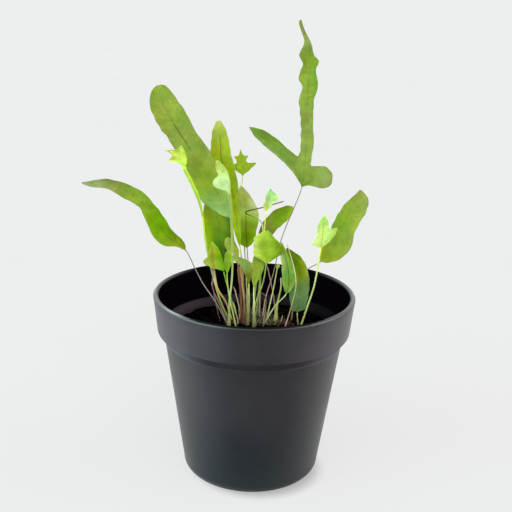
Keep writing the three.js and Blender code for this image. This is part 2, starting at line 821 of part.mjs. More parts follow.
// Hole that a stalk stands in, a little wider and deeper than the stalk
function makeHole(foot, next, radius) {
  const surface = new THREE.Vector3(foot[0], foot[1], soilTop(foot[0], foot[1]));
  const rise = vector(next).sub(surface).normalize();
  const bottom = surface.clone().addScaledVector(rise, -footDepth - holeSlack);
  const top = surface.clone().addScaledVector(rise, holeTop);
  return toSolid(tube(new THREE.LineCurve3(bottom, top), radius + holeSlack, 1, holeSides));
}

function allHoles() {
  const holes = [];
  for (const { foot, stalk, rib } of fronds) {
    holes.push(makeHole(foot, stalk[0] ?? rib[0], stalkRadius));
  }
  for (const { foot, path, radius } of bareStalks) {
    holes.push(makeHole(foot, path[0], radius));
  }
  return wasm.Manifold.union(holes);
}

// Radius of the pot's outer wall below its band
function bodyRadius(z) {
  return baseRadius + ((neckRadius - baseRadius) * (z - baseRound)) / (chamferBottom - baseRound);
}

// Quarter round between two walls as points, the given number of steps
function quarterRound(centreRadius, centreZ, radius, fromAngle, toAngle, steps) {
  const points = [];
  for (let i = 0; i <= steps; i += 1) {
    const angle = fromAngle + ((toAngle - fromAngle) * i) / steps;
    points.push([centreRadius + radius * Math.cos(angle), centreZ + radius * Math.sin(angle)]);
  }
  return points;
}

function innerWall(z) {
  const top = potHeight - ledgeDrop - ledgeFall;
  const bottomRadius = baseRadius - wallThickness;
  return bottomRadius + ((ledgeInnerRadius - bottomRadius) * (z - baseRound)) / (top - baseRound);
}

function makePot() {
  const lipTop = potHeight - lipRound;
  const innerRim = rimRadius - wallThickness;
  const innerBand = rimFootRadius - wallThickness;
  const ledgeTop = potHeight - ledgeDrop;
  const innerRound = baseRound - floorThickness;
  const innerFoot = innerWall(baseRound) - innerRound;
  const profile = [
    [0, 0],
    ...quarterRound(baseRadius - baseRound, baseRound, baseRound, -rightAngle, 0, roundSteps),
    [bodyRadius(chamferBottom), chamferBottom],
    [rimFootRadius, bandBottom],
    ...quarterRound(rimRadius - lipRound, lipTop, lipRound, 0, rightAngle, lipSteps),
    ...quarterRound(innerRim + lipRound, lipTop, lipRound, rightAngle, Math.PI, lipSteps),
    [innerBand, ledgeTop],
    [ledgeInnerRadius, ledgeTop - ledgeFall],
    ...quarterRound(innerFoot, baseRound, innerRound, 0, -rightAngle, roundSteps),
    [0, floorThickness]
  ];
  const drains = [];
  for (let i = 0; i < drainHoles; i += 1) {
    const angle = (i / drainHoles) * Math.PI * 2;
    const below = new THREE.Vector3(drainCircle * Math.cos(angle), drainCircle * Math.sin(angle));
    const above = below.clone().setZ(floorThickness + cutMargin);
    below.setZ(-cutMargin);
    drains.push(toSolid(tube(new THREE.LineCurve3(below, above), drainRadius, 1, drainSides)));
  }
  const pot = toSolid(turned(profile)).subtract(wasm.Manifold.union(drains));
  return makeMesh('pot', toGeometry(pot), 'pot');
}

// Moves the first and last of some points outward by a margin
function lengthened(points, margin) {
  const last = points.length - 1;
  points[0].addScaledVector(points[0].clone().sub(points[1]).normalize(), margin);
  points[last].addScaledVector(points[last].clone().sub(points[last - 1]).normalize(), margin);
}

// Branches of the rhizome, grown all round by the given margin
function rhizomeSolid(margin) {
  const radius = rhizomeRadius + margin;
  const parts = [];
  for (const branch of rhizomeBranches) {
    const points = branch.map(([x, y]) => new THREE.Vector3(x, y, soilTop(x, y) - rhizomeSink));
    points[points.length - 1].z -= rhizomeEndDip;
    lengthened(points, margin);
    const curve = new THREE.CatmullRomCurve3(points, false, 'centripetal');
    parts.push(toSolid(tube(curve, radius, points.length + 2, rhizomeSides)));
  }
  return wasm.Manifold.union(parts);
}

function makeSoil(holes) {
  const bottom = floorThickness + clearance;
  const innerRound = baseRound - floorThickness;
  const edge = innerWall(soilEdge) - clearance;
  const side = innerWall(baseRound) - clearance;
  const bend = innerRound - clearance;
  const corner = quarterRound(side - innerRound, baseRound, bend, -rightAngle, 0, roundSteps);
  const rings = [...soilRings].reverse().map((share) => [edge * share, soilEdge]);
  const profile = [[0, bottom], ...corner, [edge, soilEdge], ...rings, [0, soilEdge]];
  const geometry = welded(turned(profile));
  const position = geometry.getAttribute('position');
  for (let i = 0; i < position.count; i += 1) {
    const [x, y, z] = [position.getX(i), position.getY(i), position.getZ(i)];
    const inside = Math.hypot(x, y) < edge - cutMargin;
    if (inside && z > soilEdge - cutMargin) {
      position.setZ(i, soilTop(x, y) + (draw(i) - 0.5) * soilRoughness);
    }
  }
  const solid = toSolid(geometry).subtract(rhizomeSolid(clearance)).subtract(holes);
  return makeMesh('soil', toGeometry(largestBody(solid)), 'soil');
}

function makeRhizome(holes) {
  const solid = largestBody(rhizomeSolid(0).subtract(holes));
  return makeMesh('rhizome', toGeometry(solid), 'rhizome');
}

const holes = allHoles();
const plant = new THREE.Group();
plant.add(makePot(), makeSoil(holes), makeRhizome(holes));
for (const frond of fronds) {
  plant.add(...makeFrond(frond));
}
for (const stalk of bareStalks) {
  plant.add(makeBareStalk(stalk));
}

export default plant;
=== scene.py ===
import itertools
import math
import random

import bpy
import numpy as np
from mathutils import Matrix, Vector, noise


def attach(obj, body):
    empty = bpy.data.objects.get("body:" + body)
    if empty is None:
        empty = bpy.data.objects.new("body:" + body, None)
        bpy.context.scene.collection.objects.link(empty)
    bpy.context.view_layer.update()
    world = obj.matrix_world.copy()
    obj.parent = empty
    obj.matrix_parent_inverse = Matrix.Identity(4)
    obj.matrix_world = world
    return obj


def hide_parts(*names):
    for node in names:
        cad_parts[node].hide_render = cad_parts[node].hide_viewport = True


# A young golden polypody in its dark plastic pot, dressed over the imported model.
# The tables hold millimetres and MM turns them into metres when a mesh is made.

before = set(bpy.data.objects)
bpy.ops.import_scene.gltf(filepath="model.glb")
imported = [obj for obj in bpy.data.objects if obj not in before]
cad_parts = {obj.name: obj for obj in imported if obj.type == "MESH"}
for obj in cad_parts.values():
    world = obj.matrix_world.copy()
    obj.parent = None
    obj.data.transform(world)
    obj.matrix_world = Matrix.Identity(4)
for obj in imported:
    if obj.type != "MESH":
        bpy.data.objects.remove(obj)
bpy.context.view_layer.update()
MM = 0.001

# Camera, fitted to the outline of the pot in a square picture
PICTURE_PIXELS = 512
FOCAL_PIXELS = 946.3
SENSOR = 36.0
CAMERA_TARGET = Vector((0.42, 0.0, 158.1)) * MM
CAMERA_DISTANCE = 0.650
CAMERA_ELEVATION = math.radians(16.9)
CAMERA_ROLL = math.radians(1.45)

# Light and surroundings: a pale studio, dark low down where the camera stands
BACKGROUND = 0.855
STUDIO_STRENGTH = 1.42
CAMERA_SIDE_STRENGTH = 0.40
OVERHEAD_SHARE = 0.3
LEFT_GAIN = 0.35
LEFT_TINT = (0.85, 1.0, 1.0, 1)
# Each sun: azimuth with 0 on the camera's side, elevation, strength and colour
SUNS = {
    "left": (-60, 16, 3.2, (0.66, 1.0, 1.0)),
    "right": (80, 14, 2.0, (1.0, 1.0, 0.98)),
    "above": (4, 48, 2.2, (1.0, 1.0, 0.97)),
}
SUN_SOFTNESS = 50
HIGHEST_SHINE = 30
PAPER_COLOUR = 0.08
PAPER_FRONT_COLOUR = 0.06
PAPER_FRONT = (-0.12, -0.02)
PAPER_GLOW = 0.69
# Painted shadow on the paper round the pot's foot: its darkest share, where it fades, and its middle
PAPER_PAINTED_SHADOW = 0.62
PAPER_PAINTED_SHADOW_REACH = (0.036, 0.050)
PAPER_PAINTED_SHADOW_CENTRE = (0.006, -0.005, 0.0)
PAPER_SIZE = 80.0
PAPER_DROP = 0.0003

# Pot: sizes
POT_HEIGHT = 132.0
RIM_RADIUS = 70.0
RIM_FOOT_RADIUS = 67.1
BAND_BOTTOM = 105.7
CHAMFER_BOTTOM = 99.1
NECK_RADIUS = 62.0
BASE_RADIUS = 48.3
BASE_ROUND = 8.6
WALL = 3.6
FLOOR_THICKNESS = 3.0
FLOOR_RADII = (12.0, 24.0, 34.0)
LEDGE_TOP = POT_HEIGHT - 24.0
LEDGE_FALL = 1.4
LEDGE_INNER_RADIUS = 58.4
LIP_FOOT = POT_HEIGHT - WALL / 2
CORNER_ROUND = 0.9
SMALL_ROUND = 0.8
LEDGE_ROUND = 0.7
POT_SIDES = 180
DRAIN_HOLES = 6
DRAIN_RADIUS = 3.2
DRAIN_CIRCLE = 28.0
DRAIN_SIDES = 32

# Pot: linear colours, with painted shade low on the outside, inside and on the lip, and painted
# light and shade that change from its left side (-1) to its right side (1)
POT_SHELL = (0.0255, 0.0226, 0.0268)
# Painted shade: the outside darkens towards its foot between the two heights below
POT_FOOT_PAINTED_SHADE = (0.0010, 0.0050, 0.0075)
POT_FOOT_PAINTED_SHADE_BLEND = (10.0, 85.0)
# Painted shade: the inside is near black
POT_INSIDE_PAINTED_SHADE = (0.0018, 0.0010, 0.0022)
POT_LEDGE = (0.021, 0.0165, 0.021)
# Painted shade: the top of the lip is near black
POT_LIP_PAINTED_SHADE = (0.005, 0.005, 0.0055)
POT_DUST = (0.16, 0.16, 0.17, 1)
# Painted light on the lip: pale towards both sides, weaker at the front, and a painted glint at the
# front left
LIP_SIDE_PAINTED_LIGHT = (0.1, 0.1, 0.095)
LIP_SIDE_SPAN = (0.62, 1.0)
LIP_FRONT_SHARE = 0.3
LIP_GLINT = 0.2
LIP_GLINT_PLACE = -0.76
LIP_GLINT_WIDTH = 0.11
# Painted light and shade on the ledge inside: lighter on the left, darker on the right
LEDGE_PAINTED_LIGHT = 0.9
LEDGE_PAINTED_LIGHT_SLOPE = 0.75
# Painted light on the band, lighter towards both sides, most on the left
BAND_PAINTED_LIGHT = {"left": 0.9, "right": 0.5}
BAND_SPAN = (0.1, 0.5)
# Painted light on the dull neck under the band: lifted in the middle and much paler at both sides
NECK_PAINTED_LIGHT = 1.8
NECK_SIDE_PAINTED_LIGHT = 6.0
NECK_SPAN = (0.4, 1.0)
NECK_BOTTOM = CHAMFER_BOTTOM + 0.2
# Painted light patch on the body's front left, and painted shade over its right side
BODY_GLINT = 0.25
BODY_GLINT_PLACE = -0.55
BODY_GLINT_WIDTH = 0.22
BODY_PAINTED_SHADE = 0.5
BODY_PAINTED_SHADE_SPAN = (0.15, 0.9)

# Soil and litter
SOIL_EDGE = 103.5
SOIL_RINGS = 70
SOIL_SIDES = 160
SOIL_ROUGHNESS = 1.1
SOIL_GAP = 0.3
SOIL_FLOOR_RADIUS = 38.0
SOIL_SHOULDER_Z = 90.0
LUMP_SCALE = 0.11
LUMP_MEAN = 0.15
MOUND_HEIGHT = 8.0
MOUND_RADIUS = 50.0
MOUND_CENTRE_X = 6.0
SOIL_DARK = (0.0007, 0.0005, 0.0009)
SOIL_LIGHT = (0.0018, 0.0011, 0.0012)
CRUMBS = 2600
CRUMB_LEAST = 0.35
CRUMB_SHAPE = ((0.7, 1.0), (0.6, 0.95))
CRUMB_UNEVEN = (0.78, 1.15)
CRUMB_RISE = 0.12
CHIP_EVERY = 9
CHIP_SIZE = (1.2, 2.6)
CHIP_SHAPE = ((0.35, 0.7), (0.18, 0.35))
CHIP_TILT = 0.5
CRUMB_EARTHS = [
    (0.0014, 0.001, 0.0012), (0.0028, 0.0016, 0.002), (0.006, 0.0026, 0.0028),
    (0.001, 0.0007, 0.0008),
]

# Rhizome: x and y along each branch, and linear colours
RHIZOME_RADIUS = 3.72
RHIZOME_SINK = 1.4
RHIZOME_SIDES = 18
RHIZOME_DIP = 5.0
RINGS_PER_PART = 14
RHIZOME_BRANCHES = [
    [(-20, -4), (-9, -1), (2, 0), (12, -2), (22, -4), (33, -6)],
    [(-4, 0), (-3, 8), (-7, 16)],
    [(7, -1), (9, 8), (16, 13)],
]
RHIZOME_CORE = (0.02, 0.013, 0.008)
SCALES_PER_RING = 11
SCALE_LENGTH = (1.6, 3.2)
SCALE_WIDTH = (0.28, 0.5)
SCALE_LIFT = 0.28
SCALE_GOLDS = [
    (0.05, 0.024, 0.012), (0.08, 0.042, 0.02), (0.03, 0.014, 0.009), (0.055, 0.04, 0.026),
]

# Stalks and blades
FOOT_DEPTH = 8.0
ROOTED = 5.0
STALK_FACE = (0.2, -1.0, 0.15)
STALK_PITCH = 2.0
STALK_GROOVE = 0.16
STALK_TAPER = (1.12, 0.85)
SHEATH = (0.35, 3.5)
SKIN_ACROSS = 3
SKIN_ALONG = 6
BARE_PITCH = 1.2
BARE_SIDES = 14
STRAND_PITCH = 1.0
STRAND_SIDES = 8
# Painted shade low on each stalk, fading out over this height above the soil
FOOT_PAINTED_SHADE = 0.3
FOOT_PAINTED_SHADE_RISE = 5.0
LENGTH_SAMPLES = 240
ROW_PITCH = 1.0
ROUND_BASE = 3.0
COLUMN_SHARES = [0.10, 0.24, 0.40, 0.56, 0.72, 0.86, 0.965, 1.0]
SECTION_COLUMNS = 2 * len(COLUMN_SHARES) + 3
SECTION_POINTS = 2 * SECTION_COLUMNS - 2
BLADE_THICKNESS = 0.42
EDGE_THICKNESS = 0.18
LEAST_REACH = 0.3
RIB_WIDTH = 0.45
RIB_RISE = 0.45
RIB_GROOVE = 0.05
WAVE_SHIFT = 1.3
WAVE_FULL_REACH = 3.0
VEIN_SLANT = 0.62
VEIN_WIDTH = 0.09
NET_WIDTH = 0.10
RIB_SPAN = (0.05, 0.16)
MARGIN_SPAN = (0.93, 1.0)
QUILT = 0.10
QUILT_INNER = (0.06, 0.25)
QUILT_OUTER = (0.8, 1.0)
QUILT_FULL_REACH = 5.0
UNDERSIDE_SHARE = 0.22

# Each blade material: share of light that shines through, roughness and specular level
BLADE_LOOKS = {
    "blade_mid": (0.36, 0.50, 0.18),
    "blade_soft": (0.26, 0.52, 0.18),
    "blade_olive": (0.32, 0.50, 0.10),
    "blade_deep": (0.24, 0.50, 0.06),
    "blade_mint": (0.32, 0.55, 0.22),
    "blade_bright": (0.26, 0.54, 0.10),
    "blade_blue_green": (0.24, 0.50, 0.22),
}

# Colours of stalks and blades, set after readings of the photo's colour at single points
# foot is a stalk colour darkened as painted shade, for stalks low down by the soil
PALETTE = dict(
    leaf="a0b83e", leaf_pale="acc050", leaf_blue="94ba54", leaf_deep="90b230", sea="96c462",
    grey_green="98b450", khaki="b0c058", olive="a8ba22", olive_pale="bcca4a", gold_green="8ab00e",
    moss="78a018", shade="628808", dusk="70900a", grass="90be26", grass_deep="7caa16",
    yellow_green="bad44a", lime="def664", lime_pale="e4fa86", lime_edge="c8e250", mint="dcf8ac",
    mint_pale="d4f08a", mint_cool="ccf6a8", blue_green="74a83a", blue_pale="84ae4c",
    slate_green="688a46", brown_green="9eae42", young="9ca660", young_pale="b0b67c", straw="bcae80",
    tan="8c7a56", pink="b08a80", rose="904a5a", brown="8c7860", bark="605040", twig="4a4028",
    dead="b88858", dead_dark="7a4a28", ochre="a08a34", rust="703c2c", foot="6e7440", foot_pale="8c8c5c",
    stalk_lime="b8d648", stalk_mint="a6ba60", acid="9cba08", shade_deep="557303", pale_green="d6ec66",
    spring="a4c834", lobe_pale="acbe6c", shade_night="2e5301", ash="80776f", ash_dark="6c6761",
    moss_grey="a8a890",
)

# Each frond: its name and slots, its foot x and y, points up its stalk and along its rib, the way
# its upper side faces, and rungs of place along the rib, reach left, reach right and how far each
# end is swept forward. cup lifts the edges by a share of the reach, wave and waves are the height
# and the number of the edges' waves, and veins is the spacing of the side veins. veining is their
# strength, and margin is how pale the edge is, or how dark below 0. stem names colours from foot
# to blade. tints names the left, middle and right colours at places along the blade, and the last
# name given stands for the rest. tone multiplies red, green and blue at a place, partly for the
# blade's own colour and partly as painted light and shade where the blade lies lit or in shade.
# crease and wing are place and strength, and the crease is painted shade along the rib. sheath is
# the foot's swelling and how far up it fades, and skin_from is the share of the stalk below the
# blade's own skin.
# Most stalk, rib and path points here and below are pixel points read off the photo, which a
# scratch script turned into half millimetres. The rungs were reshaped. The tone rows were typed
# after the ratios between the photo's colours and a render's that a scratch script printed.
USUAL_CREASE_SHADE = [(0, 0.2), (1, 0.1)]
FRONDS = [
    dict(
        name="strap_left", slot="blade_mid", foot=(-9, 1), radius=0.46, face=(0.35, -1, 0.3), cup=0.12,
        wave=1.1, waves=3, veins=4.6, veining=1.6, margin=-0.35,
        stem="foot dead_dark bark bark tan young",
        crease_shade=[(0, 0.15), (0.5, 0.15), (0.58, 0.9), (0.7, 0.9), (0.76, 0.25), (1, 0.15)],
        stalk=[(-10, 2, 132.5), (-12, 3, 150.5), (-15, 3.5, 168)],
        rib=[
            (-17.5, 4, 183), (-30, 8, 204.5), (-41.5, 13, 222), (-57, 21, 243), (-66, 27, 257.5),
            (-69, 32, 269),
        ],
        rungs=[
            (0, 0.7, 0.7), (0.08, 7.6, 4.4), (0.2, 12.4, 8.4), (0.35, 11.6, 9.4), (0.5, 9.4, 10.7),
            (0.58, 9.2, 9.8), (0.65, 9.1, 10.1), (0.73, 10.4, 10.8), (0.8, 10.3, 11.2), (0.92, 8, 9),
            (0.98, 4.3, 5), (1, 1.4, 1.6),
        ],
        tints={
            0: "sea", 0.12: "sea leaf_blue", 0.25: "leaf_deep leaf_deep leaf",
            0.4: "leaf_deep leaf_deep leaf_pale", 0.5: "leaf", 0.62: "leaf_pale", 0.75: "leaf",
            0.88: "leaf leaf_pale", 1: "leaf leaf_pale leaf",
        },
        tone_and_painted_light=[
            (0, 0.95, 0.9, 1.3), (0.25, 0.72, 0.72, 0.7), (0.34, 0.74, 0.68, 0.62),
            (0.5, 0.57, 0.57, 0.62), (0.65, 0.53, 0.54, 0.48), (0.8, 0.61, 0.62, 0.62),
            (1, 0.6, 0.62, 0.45),
        ],
    ),
    dict(
        name="strap_low", slot="blade_mid", stem_slot="stalk_pinkish", foot=(-18, -6), radius=0.36,
        face=(-0.1, -1, 0.45), cup=0.25, wave=0.8, waves=2.5, veins=3.6, veining=0.8, margin=0.2,
        stem="ash ash ash ash_dark", crease_shade=[(0, 0.3), (1, 0.1)],
        stalk=[(-27, -9, 127.8), (-35, -11.5, 140.8), (-41, -14, 153.5)],
        rib=[
            (-46.5, -16, 165.5), (-59, -19, 176), (-67.5, -22, 189.5), (-77.5, -25, 202),
            (-95, -30, 213), (-111.5, -34, 214),
        ],
        rungs=[
            (0, 0.7, 0.7), (0.08, 2, 4.2), (0.2, 6.7, 5.4), (0.35, 5.9, 6), (0.5, 3, 5.9),
            (0.57, 3.4, 6), (0.65, 4.4, 5.1), (0.8, 3.6, 2.9), (0.92, 3.4, 1.4), (1, 0.5, 0.5),
        ],
        tints={
            0: "leaf_pale gold_green", 0.1: "gold_green gold_green grass_deep",
            0.35: "gold_green grass_deep", 0.55: "grass_deep leaf_deep", 0.75: "leaf", 1: "leaf_pale",
        },
        tone_and_painted_light=[
            (0, 0.95, 0.75, 1.4), (0.08, 0.95, 0.75, 1.4), (0.19, 0.78, 0.75, 0.2),
            (0.32, 1.02, 1.04, 0.08), (0.48, 1.13, 0.97, 1.03), (0.68, 0.68, 0.68, 0.84),
            (0.87, 0.67, 0.6, 1.61),
        ],
    ),
    dict(
        name="olive", slot="blade_olive", foot=(-6.5, 6), radius=0.5, face=(-0.25, -1, 0.3), cup=0.15,
        wave=0.5, waves=2, veins=3.8, veining=1, margin=0.2, stem="foot young tan tan brown_green",
        crease_shade=[(0, 0.2), (0.5, 0.5), (0.62, 1), (0.82, 0.8), (0.92, 0.1), (1, 0)],
        stalk=[(-7.5, 7, 131), (-9, 8.5, 149.5)],
        rib=[
            (-11, 10, 162), (-14, 14, 183), (-18, 18, 203.5), (-25, 23, 220), (-26, 27, 231),
            (-28, 32, 245.5),
        ],
        rungs=[
            (0, 0.7, 0.7), (0.06, 1.7, 1.6), (0.14, 2.9, 2.2), (0.22, 3.3, 2.8), (0.35, 3.9, 3.7),
            (0.5, 5, 5.4), (0.65, 7, 7.8), (0.8, 7, 6.5), (0.91, 5.4, 5.1), (0.97, 3.1, 3.2),
            (1, 1.2, 1.2),
        ],
        tints={
            0: "gold_green", 0.3: "olive olive leaf", 0.6: "gold_green olive leaf", 0.8: "olive",
            1: "olive_pale",
        },
        tone_and_painted_light=[
            (0.36, 0.92, 0.91, 0.7), (0.5, 0.74, 0.73, 0.2), (0.64, 0.79, 0.79, 0.32),
            (0.81, 0.72, 0.74, 0.76), (1, 0.83, 0.69, 1.3),
        ],
    ),
    dict(
        name="broad_back", slot="blade_deep", foot=(-12.5, 9), radius=0.5, face=(-0.4, -1, 0.25),
        cup=0.12, wave=0.8, waves=2, veins=4.4, veining=0.8, margin=0, stem="foot moss",
        crease_shade=[(0, 0.35), (1, 0.2)], stalk=[(-18, 12, 127.5)],
        rib=[(-22, 14, 141.5), (-24.5, 18, 156.5), (-26, 22, 170), (-28, 26, 183.5), (-29.5, 30, 197)],
        rungs=[
            (0, 0.7, 0.7), (0.08, 4.2, 4.3), (0.2, 8.6, 8), (0.35, 10.7, 10.4), (0.5, 11.2, 11),
            (0.65, 10.9, 11), (0.8, 9.6, 9.6), (0.92, 6.2, 6.4), (1, 1.2, 1.2),
        ],
        # The right half's shade colours are painted shade of the fold, and shade_night a painted shadow
        # of the fronds in front
        tints={
            0: "acid shade shade_deep", 0.2: "acid shade_deep shade_night",
            0.3: "acid shade shade_night", 0.37: "acid shade shade_deep",
            0.7: "acid leaf_deep shade_deep", 1: "leaf_deep leaf_deep shade_deep",
        },
        tone_and_painted_light=[
            (0, 0.5, 0.5, 0.35), (0.2, 0.42, 0.45, 0.25), (0.3, 0.5, 0.52, 0.35),
            (0.38, 0.68, 0.65, 0.38), (0.56, 0.91, 0.81, 0.52), (0.8, 0.67, 0.55, 0.34),
        ],
    ),
    dict(
        name="centre_back", slot="blade_deep", stem_slot="stalk_brown", foot=(-3, 10), radius=0.4,
        face=(0.35, -1, 0.25), cup=0.12, wave=0.5, waves=2, veins=4, veining=1, margin=-0.3,
        stem="tan brown brown", crease_shade=[(0, 0.4), (0.15, 1), (0.5, 0.8), (0.7, 0.2), (1, 0)],
        stalk=[(-4, 11, 129.5), (-5, 12.5, 148.5)],
        rib=[(-6, 14, 159), (-7, 18, 170), (-7.5, 22, 182), (-9.5, 26, 192), (-11.5, 30, 200)],
        rungs=[
            (0, 0.7, 0.7), (0.07, 4.6, 3.8), (0.18, 7.2, 6.4), (0.35, 7.9, 8.2), (0.5, 7.6, 9),
            (0.65, 7.2, 8.2), (0.8, 6, 6), (0.92, 3.2, 3.2), (1, 0.6, 0.6),
        ],
        tints={
            0: "dusk dusk gold_green", 0.2: "moss shade moss", 0.5: "moss moss grass_deep",
            0.72: "leaf_deep leaf_deep khaki", 1: "khaki",
        },
        tone_and_painted_light=[(0.22, 0.93, 0.89, 0.05), (0.53, 1.6, 1.16, 4.6), (0.8, 0.76, 0.7, 1.1)],
    ),
    dict(
        name="right_centre", slot="blade_mid", foot=(3.5, 9), radius=0.46, face=(0.3, -1, 0.4), cup=0.2,
        wave=0.4, waves=1.5, veins=3.8, veining=0.7, margin=-0.9, stem="foot young young",
        crease_shade=[(0, 0.1), (1, 0.1)], stalk=[(4, 8.5, 129), (4, 8.5, 147)],
        rib=[(4.5, 9, 162.5), (8.5, 11, 174), (15, 15, 181.5), (25.5, 21, 188)],
        rungs=[
            (0, 0.7, 0.7), (0.1, 3.4, 2.4), (0.22, 5.6, 3.8), (0.38, 6.2, 4.6), (0.55, 5.9, 5.2),
            (0.75, 5.2, 5.2), (0.9, 3.3, 3.6), (1, 0.8, 0.8),
        ],
        tints={
            0: "khaki", 0.42: "khaki", 0.55: "leaf", 0.65: "grass_deep",
            0.9: "gold_green gold_green olive", 1: "olive",
        },
        tone_and_painted_light=[(0.26, 0.42, 0.22, 0.45), (0.53, 0.47, 0.58, 0.02), (0.81, 0.78, 0.74, 0.3)],
    ),
    dict(
        name="yellow_broad", slot="blade_bright", foot=(-1, -3), radius=0.46, face=(-0.2, -1, 0.4),
        cup=-0.15, wave=0.4, waves=1.5, veins=3.8, veining=0.9, margin=0.2, stem="foot young young",
        stalk=[(1, -4.5, 125.5), (5.5, -6, 140.5)],
        rib=[(7.5, -8, 155), (8, -11, 164.5), (7.5, -13, 173.5), (7.5, -13, 180)],
        rungs=[
            (0, 0.7, 0.7), (0.05, 4.4, 1.8), (0.12, 9.2, 3.2), (0.22, 9.9, 5.8), (0.35, 10, 9.2),
            (0.5, 9.9, 11.4), (0.62, 9.6, 9.4), (0.75, 9, 6.6), (0.86, 7, 4.2), (0.94, 3.6, 2.4),
            (1, 0.6, 0.6),
        ],
        tints={
            0: "leaf_pale leaf grass", 0.2: "pale_green spring grass_deep",
            0.45: "pale_green spring grass_deep", 0.7: "pale_green spring grass_deep",
            1: "spring spring grass",
        },
        tone_and_painted_light=[(0.23, 1.25, 1.08, 1.08), (0.6, 0.95, 0.87, 0.95)],
    ),
    dict(
        name="blue_right", slot="blade_blue_green", foot=(7, -8), radius=0.44, face=(0.35, -1, 0.2),
        cup=0.15, wave=0.4, waves=2, veins=3.2, veining=0.9, margin=0.6, stem="foot young_pale young",
        crease_shade=[(0, 0.5), (0.3, 1), (0.6, 0.8), (1, 0.2)], stalk=[(15, -10, 126.5)],
        rib=[(21.5, -12, 135), (23, -14, 146), (22, -12, 155), (17.5, -5, 169.5)],
        rungs=[
            (0, 0.6, 0.6), (0.1, 2.6, 2.4), (0.22, 4.3, 4.2), (0.35, 4.9, 4.5), (0.5, 4.8, 3.6),
            (0.65, 4.2, 2.6), (0.8, 3.2, 1.6), (0.92, 1.6, 1), (1, 0.5, 0.5),
        ],
        tints={
            0: "slate_green blue_green blue_pale", 0.3: "blue_green blue_green blue_pale",
            0.48: "sea blue_green blue_pale", 0.6: "sea blue_green grass_deep", 1: "blue_pale",
        },
        tone_and_painted_light=[(0.14, 1.33, 1.1, 1.3), (0.39, 0.62, 0.7, 0.45), (0.68, 0.91, 0.67, 0.82)],
    ),
    dict(
        name="dark_right", slot="blade_deep", foot=(31, -5), radius=0.44, face=(0.4, -1, 0.2), cup=0.12,
        wave=0.4, waves=2, veins=3.6, veining=1.3, margin=-0.5, stem="foot foot_pale",
        crease_shade=[(0, 0.5), (0.5, 0.3), (1, 0.2)], stalk=[],
        rib=[(30, -6, 119.5), (31, -6, 129), (31, -4, 139.5), (29, 0, 151.5), (21.5, 6, 162.5)],
        rungs=[
            (0, 0.7, 0.7), (0.025, 3.2, 2.8), (0.06, 5.4, 4.9), (0.12, 6.6, 5.6), (0.2, 7.5, 6.1),
            (0.35, 8.4, 6.9), (0.5, 8.4, 6.9), (0.65, 7.6, 6.3), (0.8, 6, 5), (0.92, 3.8, 2.4),
            (1, 0.6, 0.6),
        ],
        tints={
            0: "slate_green", 0.4: "slate_green", 0.55: "moss dusk blue_pale", 0.72: "dusk dusk khaki",
            0.85: "brown_green dusk", 1: "brown_green dusk",
        },
        tone_and_painted_light=[
            (0.23, 0.83, 0.8, 1.17), (0.56, 0.8, 0.66, 0.45), (0.7, 0.53, 0.52, 0.02),
            (0.8, 0.46, 0.54, 0.02),
        ],
    ),
    dict(
        name="strap_right", slot="blade_mid", stem_slot="stalk_brown", foot=(26.5, 4), radius=0.33,
        face=(-0.3, -1, 0.4), cup=0.12, wave=0.8, waves=2.5, veins=4.2, veining=1, margin=-0.3,
        stem="pink brown bark brown", crease_shade=[(0, 0.2), (1, 0.12)],
        stalk=[(28, 5, 125), (31.5, 7, 141.5), (38, 8, 148)],
        rib=[(45, 9, 152), (54.5, 12, 163), (60.5, 16, 176.5), (66, 22, 187.5), (73, 30, 199.5)],
        rungs=[
            (0, 0.7, 0.7), (0.08, 4.6, 5.3), (0.2, 6.9, 9.7), (0.35, 7, 11.3), (0.5, 6.9, 9.6),
            (0.62, 6.7, 10), (0.75, 5.6, 11), (0.9, 2.1, 9.1), (0.97, 1.1, 4.7), (1, 0.7, 1.2),
        ],
        tints={
            0: "leaf leaf gold_green", 0.3: "leaf leaf_deep leaf_pale",
            0.55: "leaf_deep leaf_deep leaf_pale", 0.75: "leaf_deep leaf leaf_pale",
            1: "leaf_pale leaf_pale khaki",
        },
        tone_and_painted_light=[
            (0.09, 0.7, 0.63, 0.2), (0.22, 0.71, 0.65, 0.32), (0.46, 0.62, 0.6, 0.35),
            (0.67, 0.65, 0.64, 0.43), (0.89, 0.56, 0.53, 0.54),
        ],
    ),
    dict(
        name="low_narrow", slot="blade_bright", foot=(-12, -12), radius=0.44, face=(0, -1, 0.2),
        cup=0.2, veins=2.4, veining=0.6, margin=0.6, stem="foot_pale young young",
        stalk=[(-15, -10, 122), (-17.8, -8.5, 134.5)],
        rib=[(-19, -8, 147), (-18.6, -8.5, 155), (-18.3, -9.5, 164)],
        rungs=[
            (0, 0.5, 0.5), (0.15, 1.2, 1.2), (0.4, 2.2, 2.2), (0.65, 2.5, 2.5), (0.85, 2.3, 2.3),
            (0.95, 1.6, 1.6), (1, 0.8, 0.8),
        ],
        tints={0: "grass_deep leaf_deep grass_deep", 0.6: "leaf_deep leaf leaf_deep", 1: "leaf_pale"},
        tone_and_painted_light=[(0.6, 0.78, 0.92, 0.52)],
    ),
    dict(
        name="hanging_grey", slot="blade_soft", foot=(-4, -9), radius=0.46, face=(0, -1, 0.3), cup=0.2,
        veins=2.8, veining=0.7, margin=0.6, sheath=(0.9, 6), stem="foot_pale foot young young",
        crease_shade=[(0, 0.3), (1, 0.3)], stalk=[(-3.5, -10, 126)],
        rib=[(-4, -11, 141.5), (-4.5, -13, 149), (-7.5, -15, 156.5), (-15.5, -18, 163)],
        rungs=[
            (0, 0.6, 0.6), (0.08, 0.8, 0.9), (0.2, 1.5, 1.8), (0.35, 2.5, 3.8), (0.55, 2.6, 4.6),
            (0.72, 2.2, 2.8), (0.87, 1.9, 1.7), (0.96, 1.1, 0.9), (1, 0.4, 0.4),
